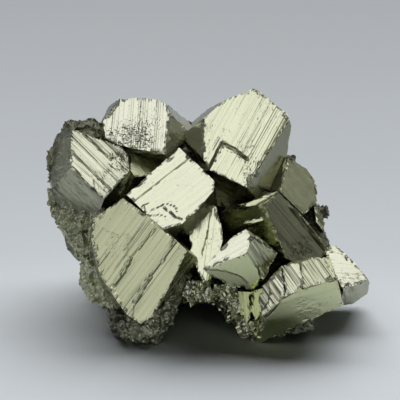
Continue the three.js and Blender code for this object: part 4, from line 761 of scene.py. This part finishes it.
def trim(o):
    """Cut the piece flat where it rests, keep its bodies of some size, and triangulate it, in metres."""
    ground = bmesh.new()
    bmesh.ops.create_cube(ground, size=1.0, matrix=Matrix.Translation((0, 0, -6)) @ Matrix.Diagonal((140, 140, 12, 1)))
    gm = bpy.data.meshes.new("ground")
    ground.to_mesh(gm)
    ground.free()
    go = bpy.data.objects.new("ground", gm)
    bpy.context.scene.collection.objects.link(go)
    md = o.modifiers.new("trim", "BOOLEAN")
    md.operation, md.solver, md.object = "DIFFERENCE", "MANIFOLD", go
    dg = bpy.context.evaluated_depsgraph_get()
    trimmed = bpy.data.meshes.new_from_object(o.evaluated_get(dg), preserve_all_data_layers=True, depsgraph=dg)
    o.modifiers.clear()
    o.data = trimmed
    bpy.data.objects.remove(go)
    bpy.data.meshes.remove(gm)
    bm = bmesh.new()
    bm.from_mesh(o.data)
    seen, groups = set(), []
    for v in bm.verts:
        if v in seen:
            continue
        stack, group = [v], []
        seen.add(v)
        while stack:
            w = stack.pop()
            group.append(w)
            for e in w.link_edges:
                x = e.other_vert(w)
                if x not in seen:
                    seen.add(x)
                    stack.append(x)
        groups.append(group)
    small = [g for g in groups if len(g) < 250]
    for g in small:
        bmesh.ops.delete(bm, geom=g, context="VERTS")
    bm.verts.index_update()
    before = sum(not e.is_manifold for e in bm.edges)
    for _ in range(4):  # two many-sided faces can share a diagonal: fan one of them from its middle instead
        test = bm.copy()
        bmesh.ops.triangulate(test, faces=test.faces[:])
        bad = [{v.index for v in e.verts} for e in test.edges if len(e.link_faces) > 2]
        test.free()
        if not bad:
            break
        poke = set()
        bm.verts.ensure_lookup_table()
        for pair in bad:
            i, j = pair
            shared = [f for f in bm.verts[i].link_faces if j in {v.index for v in f.verts} and len(f.verts) > 3 and f not in poke]
            if shared:
                poke.add(min(shared, key=lambda f: len(f.verts)))
        bmesh.ops.poke(bm, faces=list(poke))
        bm.verts.index_update()
    bmesh.ops.triangulate(bm, faces=bm.faces[:])
    report("%s: bodies %d, open edges %d then %d, triangles %d" % (o.name, len(groups) - len(small), before, sum(not e.is_manifold for e in bm.edges), len(bm.faces)))
    for v in bm.verts:
        v.co *= MM
    bm.normal_update()
    layer = bm.faces.layers.int["fid"]
    for e in bm.edges:
        if len(e.link_faces) != 2:
            continue
        p, q = e.link_faces
        limit = math.radians(28 if p[layer] < 0 and q[layer] < 0 else 4.5)
        e.smooth = p.normal.angle(q.normal, 0.0) < limit
    for p in bm.faces:
        p.smooth = True
    bm.to_mesh(o.data)
    bm.free()
    o.data.update()


def surface_data(o):
    """Surface coordinates for the shaders: across and along the striations, with the look of each face."""
    me = o.data
    nf = len(me.polygons)
    fid = np.zeros(nf, np.int32)
    me.attributes["fid"].data.foreach_get("value", fid)
    loops = np.zeros(len(me.loops), np.int32)
    me.loops.foreach_get("vertex_index", loops)
    co = np.zeros(len(me.vertices) * 3, np.float32)
    me.vertices.foreach_get("co", co)
    co = co.reshape(-1, 3).astype(float)
    counts = np.zeros(nf, np.int32)
    me.polygons.foreach_get("loop_total", counts)
    lf = fid[np.repeat(np.arange(nf), counts)]
    pos = co[loops]
    stri = np.zeros((len(loops), 3))
    look = np.zeros((len(loops), 4))
    dark, pock, groove_shade_and_tone = np.zeros(len(loops)), np.zeros(len(loops)), np.zeros(len(loops))
    for k, f in FACES.items():
        rows = lf == k
        if not rows.any():
            continue
        stri[rows, 0] = pos[rows] @ f["s"] * 1000
        stri[rows, 1] = pos[rows] @ f["t"] * 1000
        stri[rows, 2] = (k % 997) * 3.7
        look[rows] = (f["amp"], f["tint"], f["cloud"], max(-1.3, min(0.75, f["rough"])))
        dark[rows] = f["dark"]
        pock[rows], groove_shade_and_tone[rows] = f["face"].marks(pos[rows] * 1000)
    a = me.attributes.new("stri", "FLOAT_VECTOR", "CORNER")
    a.data.foreach_set("vector", stri.astype(np.float32).ravel())
    a = me.attributes.new("look", "FLOAT_COLOR", "CORNER")
    a.data.foreach_set("color", look.astype(np.float32).ravel())
    for name, values in (("dark", dark), ("pock", pock), ("groove_shade_and_tone", groove_shade_and_tone)):
        a = me.attributes.new(name, "FLOAT", "CORNER")
        a.data.foreach_set("value", values.astype(np.float32))
    me.polygons.foreach_set("material_index", np.where(fid < 0, 1, 0).astype(np.int32))
    me.update()


def cavities(objects, reach=0.011, rays=12):
    """How enclosed each point is, from 0 in the open to 1 deep between the crystals: the shaders paint shade there,
    darker the more enclosed.
    """
    verts, tris, sizes = [], [], []
    for o in objects:
        me = o.data
        co = np.zeros(len(me.vertices) * 3, np.float32)
        me.vertices.foreach_get("co", co)
        ids = np.zeros(len(me.polygons) * 3, np.int32)
        me.polygons.foreach_get("vertices", ids)
        tris.append(ids.reshape(-1, 3) + sum(sizes))
        verts.append(co.reshape(-1, 3).astype(float))
        sizes.append(len(me.vertices))
    tree = BVHTree.FromPolygons(np.concatenate(verts).tolist(), np.concatenate(tris).tolist(), all_triangles=True)
    k = np.arange(rays) + 0.5
    lift, turn = np.sqrt(1 - k / rays), k * 2.39996
    for o, co in zip(objects, verts):
        n = len(co)
        no = np.zeros(n * 3, np.float32)
        o.data.vertices.foreach_get("normal", no)
        no = no.reshape(-1, 3).astype(float)
        side = np.cross(no, np.where(np.abs(no[:, 2:]) < 0.9, [[0.0, 0, 1]], [[1.0, 0, 0]]))
        side /= np.linalg.norm(side, axis=1, keepdims=True) + 1e-12
        over = np.cross(no, side)
        spin = hashed(np.arange(n), 5) * 6.283
        recess_shade = np.zeros(n)
        start = [Vector(v) for v in (co + no * 4e-5)]
        for m in range(rays):
            flat = math.sqrt(1 - lift[m] ** 2)
            d = no * lift[m] + flat * (side * np.cos(spin + turn[m])[:, None] + over * np.sin(spin + turn[m])[:, None])
            for i, v in enumerate(d):
                hit = tree.ray_cast(start[i], v, reach)
                if hit[3] is not None:
                    recess_shade[i] += 1 - 0.5 * hit[3] / reach
        a = o.data.attributes.new("recess_shade", "FLOAT", "POINT")
        a.data.foreach_set("value", (recess_shade / rays).astype(np.float32))


for o, name in ((base_rock, "pyrite_base"), (cluster, "pyrite_crystals")):
    o.name = name
    trim(o)
    surface_data(o)
    o.data.name = name
report("trimmed")
cavities([base_rock, cluster])
report("meshes ready")


# ---------------------------------------------------------------- materials
def node(tree, kind, at=(0, 0), **values):
    n = tree.nodes.new(kind)
    n.location = at
    for k, v in values.items():
        if k.startswith("in_"):
            n.inputs[int(k[3:]) if k[3:].isdigit() else k[3:].replace("_", " ")].default_value = v
        else:
            setattr(n, k, v)
    return n


def ramp(tree, stops, mode="LINEAR"):
    r = tree.nodes.new("ShaderNodeValToRGB")
    r.color_ramp.interpolation = mode
    e = r.color_ramp.elements
    e[0].position, e[1].position = stops[0][0], stops[-1][0]
    for p, _ in stops[1:-1]:
        e.new(p)
    for x, (_, c) in zip(e, stops):
        x.color = (*c, 1) if len(c) == 3 else c
    return r


def math_node(tree, op, a, b=None, clamp=False):
    n = tree.nodes.new("ShaderNodeMath")
    n.operation, n.use_clamp = op, clamp
    for i, v in enumerate((a, b)):
        if v is None:
            continue
        if isinstance(v, (int, float)):
            n.inputs[i].default_value = v
        else:
            tree.links.new(v, n.inputs[i])
    return n.outputs[0]


def mix_color(tree, fac, a, b):
    n = tree.nodes.new("ShaderNodeMix")
    n.data_type = "RGBA"
    for sock, v in ((n.inputs[0], fac), (n.inputs[6], a), (n.inputs[7], b)):
        if isinstance(v, (int, float)):
            sock.default_value = v
        elif isinstance(v, tuple):
            sock.default_value = (*v, 1)
        else:
            tree.links.new(v, sock)
    return n.outputs[2]


def stretched(tree, source, scale, detail=3.0, rough=0.55):
    """Noise over (across, along, face) coordinates scaled by scale."""
    m = node(tree, "ShaderNodeVectorMath", operation="MULTIPLY")
    m.inputs[1].default_value = scale
    tree.links.new(source, m.inputs[0])
    n = node(tree, "ShaderNodeTexNoise")
    n.inputs["Scale"].default_value = 1.0
    n.inputs["Detail"].default_value = detail
    n.inputs["Roughness"].default_value = rough
    tree.links.new(m.outputs[0], n.inputs["Vector"])
    return n.outputs[0]


PALE = (0.70, 0.712, 0.575)
OLIVE = (0.63, 0.665, 0.405)
LEAFY = (0.60, 0.64, 0.24)
SOOT = (0.13, 0.125, 0.09)

crystal = bpy.data.materials.new("pyrite_face")
crystal.use_nodes = True
t = crystal.node_tree
t.nodes.clear()
out = node(t, "ShaderNodeOutputMaterial", (900, 0))
bsdf = node(t, "ShaderNodeBsdfPrincipled", (600, 0))
bsdf.inputs["Metallic"].default_value = 1.0
t.links.new(bsdf.outputs[0], out.inputs[0])
st = node(t, "ShaderNodeAttribute", (-1200, 0), attribute_name="stri", attribute_type="GEOMETRY").outputs["Vector"]
lk = node(t, "ShaderNodeAttribute", (-1200, -300), attribute_name="look", attribute_type="GEOMETRY")
dk = node(t, "ShaderNodeAttribute", (-1200, -500), attribute_name="dark", attribute_type="GEOMETRY").outputs["Fac"]
sep = node(t, "ShaderNodeSeparateColor", (-1000, -300))
t.links.new(lk.outputs["Color"], sep.inputs[0])
amp, tint, cloud, rough = sep.outputs[0], sep.outputs[1], sep.outputs[2], lk.outputs["Alpha"]
geo = node(t, "ShaderNodeNewGeometry", (-1200, 300))
place = node(t, "ShaderNodeVectorMath", operation="MULTIPLY")
place.inputs[1].default_value = (1000, 1000, 1000)
t.links.new(geo.outputs["Position"], place.inputs[0])
place = place.outputs[0]


def spots(scale, detail=3.0, roughness=0.55):
    """Noise through the solid, scale in spots to the millimetre."""
    n = node(t, "ShaderNodeTexNoise")
    n.inputs["Scale"].default_value = scale
    n.inputs["Detail"].default_value = detail
    n.inputs["Roughness"].default_value = roughness
    t.links.new(place, n.inputs["Vector"])
    return n.outputs[0]


def step(value, low, high):
    n = node(t, "ShaderNodeMapRange", interpolation_type="SMOOTHSTEP")
    n.inputs["From Min"].default_value = low
    n.inputs["From Max"].default_value = high
    t.links.new(value, n.inputs["Value"])
    return n.outputs[0]


fine = stretched(t, st, (4.5, 0.05, 1.0), 2.0, 0.5)
thin = stretched(t, st, (2.6, 0.030, 1.0), 1.0, 0.5)
bands = stretched(t, st, (0.9, 0.020, 1.0), 1.0, 0.5)
speck = spots(2.2, 3.0)
patch = spots(0.17, 3.0)
grit = spots(2.6, 4.0, 0.6)
blotch = spots(0.45, 4.0, 0.6)

lines = math_node(t, "MULTIPLY", step(thin, 0.36, 0.30), math_node(t, "MULTIPLY", amp, 0.8, True), True)
dirt = math_node(t, "MULTIPLY", step(speck, 0.66, 0.74), 0.5, True)
base = mix_color(t, math_node(t, "MAXIMUM", tint, 0.0), OLIVE, PALE)
base = mix_color(t, math_node(t, "MAXIMUM", math_node(t, "MULTIPLY", tint, -1.0), 0.0), base, LEAFY)
base = mix_color(t, math_node(t, "MULTIPLY", step(bands, 0.40, 0.66), math_node(t, "MULTIPLY", amp, 0.16)), base, SOOT)
base = mix_color(t, math_node(t, "MULTIPLY", lines, 0.55), base, SOOT)
base = mix_color(t, dirt, base, (0.28, 0.28, 0.19))
base = mix_color(t, math_node(t, "MULTIPLY", step(blotch, 0.40, 0.62), math_node(t, "MULTIPLY", cloud, 0.45)), base, SOOT)
frost = math_node(t, "MAXIMUM", math_node(t, "MULTIPLY", rough, -1.0), 0.0)
rough = math_node(t, "MAXIMUM", rough, 0.0)
worn = math_node(t, "MULTIPLY", math_node(t, "ADD", math_node(t, "MULTIPLY", step(grit, 0.36, 0.62), 0.55), 0.18), rough, True)
base = mix_color(t, worn, base, (0.17, 0.17, 0.125))
base = mix_color(t, dk, base, (0.10, 0.10, 0.075))
pock = node(t, "ShaderNodeAttribute", attribute_name="pock", attribute_type="GEOMETRY").outputs["Fac"]
groove_shade_and_tone = node(t, "ShaderNodeAttribute", attribute_name="groove_shade_and_tone", attribute_type="GEOMETRY").outputs["Fac"]


def pits(scale, amount):
    """Small dark pits, stretched by scale, where amount is above 0: more of them the nearer it is to 1."""
    value = math_node(t, "ADD", stretched(t, st, scale, 3.0, 0.62), math_node(t, "MULTIPLY", math_node(t, "SUBTRACT", amount, 1.0), 0.26))
    return step(value, 0.555, 0.60)


pitted = math_node(t, "MAXIMUM", pits((2.7, 0.85, 1.0), pock), pits((1.0, 3.1, 1.0), math_node(t, "MULTIPLY", pock, -1.0)))
# Dark pits, painted shade in the grooves and a darker tone on some plates all darken the base colour here.
marks = math_node(t, "MAXIMUM", math_node(t, "MULTIPLY", pitted, 0.85), groove_shade_and_tone)
base = mix_color(t, marks, base, (0.07, 0.066, 0.048))
# Painted shade: the base colour goes near black where the point lies deep between the crystals.
recess_shade = node(t, "ShaderNodeAttribute", attribute_name="recess_shade", attribute_type="GEOMETRY").outputs["Fac"]
base = mix_color(t, math_node(t, "MULTIPLY", step(recess_shade, 0.45, 0.90), 0.70), base, (0.06, 0.056, 0.04))
t.links.new(base, bsdf.inputs["Base Color"])
r = math_node(t, "ADD", math_node(t, "MULTIPLY", patch, 0.10), 0.10)
r = math_node(t, "ADD", r, math_node(t, "MULTIPLY", lines, 0.15))
r = math_node(t, "ADD", r, math_node(t, "MULTIPLY", dirt, 0.30))
r = math_node(t, "ADD", r, math_node(t, "MULTIPLY", cloud, 0.12))
r = math_node(t, "ADD", r, math_node(t, "MULTIPLY", marks, 0.25))
r = math_node(t, "ADD", r, math_node(t, "MULTIPLY", rough, math_node(t, "ADD", math_node(t, "MULTIPLY", grit, 0.35), 0.12)), True)
r = math_node(t, "ADD", r, math_node(t, "MULTIPLY", frost, 0.30), True)
t.links.new(r, bsdf.inputs["Roughness"])
rough = math_node(t, "ADD", rough, frost)
h = math_node(t, "MULTIPLY", math_node(t, "ADD", math_node(t, "MULTIPLY", fine, 0.35), math_node(t, "MULTIPLY", thin, 0.8)), amp)
h = math_node(t, "SUBTRACT", h, math_node(t, "MULTIPLY", dirt, 0.5))
h = math_node(t, "SUBTRACT", h, math_node(t, "MULTIPLY", pitted, 1.6))
h = math_node(t, "SUBTRACT", h, math_node(t, "MULTIPLY", math_node(t, "ADD", grit, math_node(t, "MULTIPLY", spots(0.9, 2.0), 1.5)), math_node(t, "MULTIPLY", rough, 1.6)))
bump = node(t, "ShaderNodeBump", (300, -300))
bump.inputs["Strength"].default_value = 1.0
bump.inputs["Distance"].default_value = 0.00009
t.links.new(h, bump.inputs["Height"])
t.links.new(bump.outputs[0], bsdf.inputs["Normal"])

grain = bpy.data.materials.new("pyrite_grain")
grain.use_nodes = True
t = grain.node_tree
t.nodes.clear()
out = node(t, "ShaderNodeOutputMaterial", (900, 0))
bsdf = node(t, "ShaderNodeBsdfPrincipled", (600, 0))
bsdf.inputs["Metallic"].default_value = 1.0
t.links.new(bsdf.outputs[0], out.inputs[0])
geo = node(t, "ShaderNodeNewGeometry", (-1200, 300))
place = node(t, "ShaderNodeVectorMath", operation="MULTIPLY")
place.inputs[1].default_value = (1000, 1000, 1000)
t.links.new(geo.outputs["Position"], place.inputs[0])
place = place.outputs[0]
n1 = spots(1.1, 6.0, 0.65)
vor = node(t, "ShaderNodeTexVoronoi")
vor.inputs["Scale"].default_value = 1.6
t.links.new(place, vor.inputs["Vector"])
tone = ramp(t, [(0.32, (0.07, 0.07, 0.055)), (0.50, (0.22, 0.222, 0.175)), (0.70, (0.44, 0.445, 0.34))])
t.links.new(n1, tone.inputs[0])
# Painted shade: the grain's base colour goes near black where it lies deep between the crystals.
recess_shade = node(t, "ShaderNodeAttribute", attribute_name="recess_shade", attribute_type="GEOMETRY").outputs["Fac"]
t.links.new(mix_color(t, math_node(t, "MULTIPLY", step(recess_shade, 0.20, 0.55), 0.85), tone.outputs[0], (0.02, 0.018, 0.012)), bsdf.inputs["Base Color"])
rr = ramp(t, [(0.3, (0.62, 0.62, 0.62)), (0.75, (0.34, 0.34, 0.34))])
t.links.new(n1, rr.inputs[0])
t.links.new(rr.outputs[0], bsdf.inputs["Roughness"])
hh = math_node(t, "ADD", math_node(t, "MULTIPLY", n1, 1.2), vor.outputs["Distance"])
bump = node(t, "ShaderNodeBump", (300, -300))
bump.inputs["Strength"].default_value = 0.8
bump.inputs["Distance"].default_value = 0.00030
t.links.new(hh, bump.inputs["Height"])
t.links.new(bump.outputs[0], bsdf.inputs["Normal"])

for o in (base_rock, cluster):
    kinds = np.zeros(len(o.data.polygons), np.int32)
    o.data.polygons.foreach_get("material_index", kinds)
    o.data.materials.clear()
    o.data.materials.append(crystal)
    o.data.materials.append(grain)
    o.data.polygons.foreach_set("material_index", kinds)  # clearing the materials resets them
    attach(o, "root")
    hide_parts("pyrite_cluster")

# ---------------------------------------------------------------- studio
def pale_floor():
    """A wide pale floor whose colour carries painted light: brightest just in front of the specimen, a little darker
    further in front, and darker far behind it.
    """
    m = bpy.data.meshes.new("floor")
    m.from_pydata([(-4, -4, 0), (4, -4, 0), (4, 4, 0), (-4, 4, 0)], [], [(0, 1, 2, 3)])
    o = bpy.data.objects.new("floor", m)
    bpy.context.scene.collection.objects.link(o)
    mat = bpy.data.materials.new("floor_paper")
    mat.use_nodes = True
    ft = mat.node_tree
    b = ft.nodes["Principled BSDF"]
    b.inputs["Roughness"].default_value = 0.8
    b.inputs["Specular IOR Level"].default_value = 0.15
    g = node(ft, "ShaderNodeNewGeometry")
    sx = node(ft, "ShaderNodeSeparateXYZ")
    ft.links.new(g.outputs["Position"], sx.inputs[0])
    along = node(ft, "ShaderNodeMapRange")
    along.inputs["From Min"].default_value = -0.5
    along.inputs["From Max"].default_value = 0.5
    ft.links.new(sx.outputs["Y"], along.inputs["Value"])
    c = ramp(ft, FLOOR_TONES)
    ft.links.new(along.outputs[0], c.inputs[0])
    ft.links.new(c.outputs[0], b.inputs["Base Color"])
    m.materials.append(mat)
    o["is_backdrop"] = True


def grey(v):
    return (v * 0.93, v * 0.985, v * 1.03)


# Painted light on the floor: tone by depth, lifted just in front of the specimen against its shadow and falling off far
# behind as a light would.
FLOOR_TONES = [(0.25, grey(0.79)), (0.43, grey(0.83)), (0.466, grey(0.84)), (0.482, grey(0.80)), (0.50, grey(0.735)), (0.53, grey(0.66)), (0.616, grey(0.56)), (0.75, grey(0.465)), (0.88, grey(0.40))]
SOFTBOX_POWER = 152.0
pale_floor()

# Soft studio light as a dome: dim sides, a bright panel above and in front, and a middling patch at the front.
world = bpy.data.worlds.new("studio")
bpy.context.scene.world = world
world.use_nodes = True
w = world.node_tree
w.nodes.clear()
wo = node(w, "ShaderNodeOutputWorld", (900, 0))
bg = node(w, "ShaderNodeBackground", (700, 0))
w.links.new(bg.outputs[0], wo.inputs[0])
tc = node(w, "ShaderNodeTexCoord", (-900, 0)).outputs["Generated"]


def panel(azimuth, elevation, inner, outer, strength):
    """Light from round one direction: full inside the inner angle, none past the outer. Azimuth 0 is in front, and positive is to the right."""
    a, e = math.radians(azimuth), math.radians(elevation)
    d = (math.sin(a) * math.cos(e), -math.cos(a) * math.cos(e), math.sin(e))
    dot = node(w, "ShaderNodeVectorMath", operation="DOT_PRODUCT")
    dot.inputs[1].default_value = d
    w.links.new(tc, dot.inputs[0])
    mr = node(w, "ShaderNodeMapRange", interpolation_type="SMOOTHSTEP")
    mr.inputs["From Min"].default_value = math.cos(math.radians(outer))
    mr.inputs["From Max"].default_value = math.cos(math.radians(inner))
    mr.inputs["To Min"].default_value = 0.0
    mr.inputs["To Max"].default_value = strength
    w.links.new(dot.outputs["Value"], mr.inputs["Value"])
    return mr.outputs[0]


total = math_node(w, "ADD", panel(0, 67, 17, 26, 1.06), 0.11)
total = math_node(w, "ADD", total, panel(-14, 28, 11, 26, 0.62))
total = math_node(w, "ADD", total, panel(178, 38, 26, 46, 0.90))
total = math_node(w, "ADD", total, panel(66, 33, 8, 24, 0.20))
total = math_node(w, "ADD", total, panel(-120, 22, 8, 24, 0.16))
w.links.new(total, bg.inputs["Strength"])
bg.inputs["Color"].default_value = (1.0, 1.0, 1.0, 1)

# A large softbox above and behind throws the shadow forward. The crystals mirror the dome only.
box = bpy.data.lights.new("softbox", "AREA")
box.shape = "RECTANGLE"
box.size, box.size_y = 4.8, 1.8
box.energy = SOFTBOX_POWER
softbox = bpy.data.objects.new("softbox", box)
aim = Vector((0.02, math.cos(math.radians(46)), math.sin(math.radians(46)))).normalized()
softbox.location = aim * 3.0
softbox.rotation_mode = "QUATERNION"
softbox.rotation_quaternion = aim.to_track_quat("Z", "Y")
softbox.visible_glossy = False
world.cycles_visibility.diffuse = False
bpy.context.scene.collection.objects.link(softbox)

# ---------------------------------------------------------------- camera
CAM_TARGET = Vector((-0.001955, -0.005245, 0.033200))
CAM_DISTANCE, CAM_ELEVATION = 0.400, math.radians(22)
cam_data = bpy.data.cameras.new("camera")
cam_data.sensor_width = 36.0
cam_data.lens = 120.0
cam_data.clip_start = 0.01
cam = bpy.data.objects.new("camera", cam_data)
back = Vector((0, -math.cos(CAM_ELEVATION), math.sin(CAM_ELEVATION)))
cam.location = CAM_TARGET + back * CAM_DISTANCE
cam.rotation_mode = "QUATERNION"
cam.rotation_quaternion = (-back).to_track_quat("-Z", "Y")
bpy.context.scene.collection.objects.link(cam)
bpy.context.scene.camera = cam
bpy.context.scene.view_settings.view_transform = "Standard"

low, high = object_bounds()
report("done %s %s" % ([round(v * 1000, 2) for v in low], [round(v * 1000, 2) for v in high]))
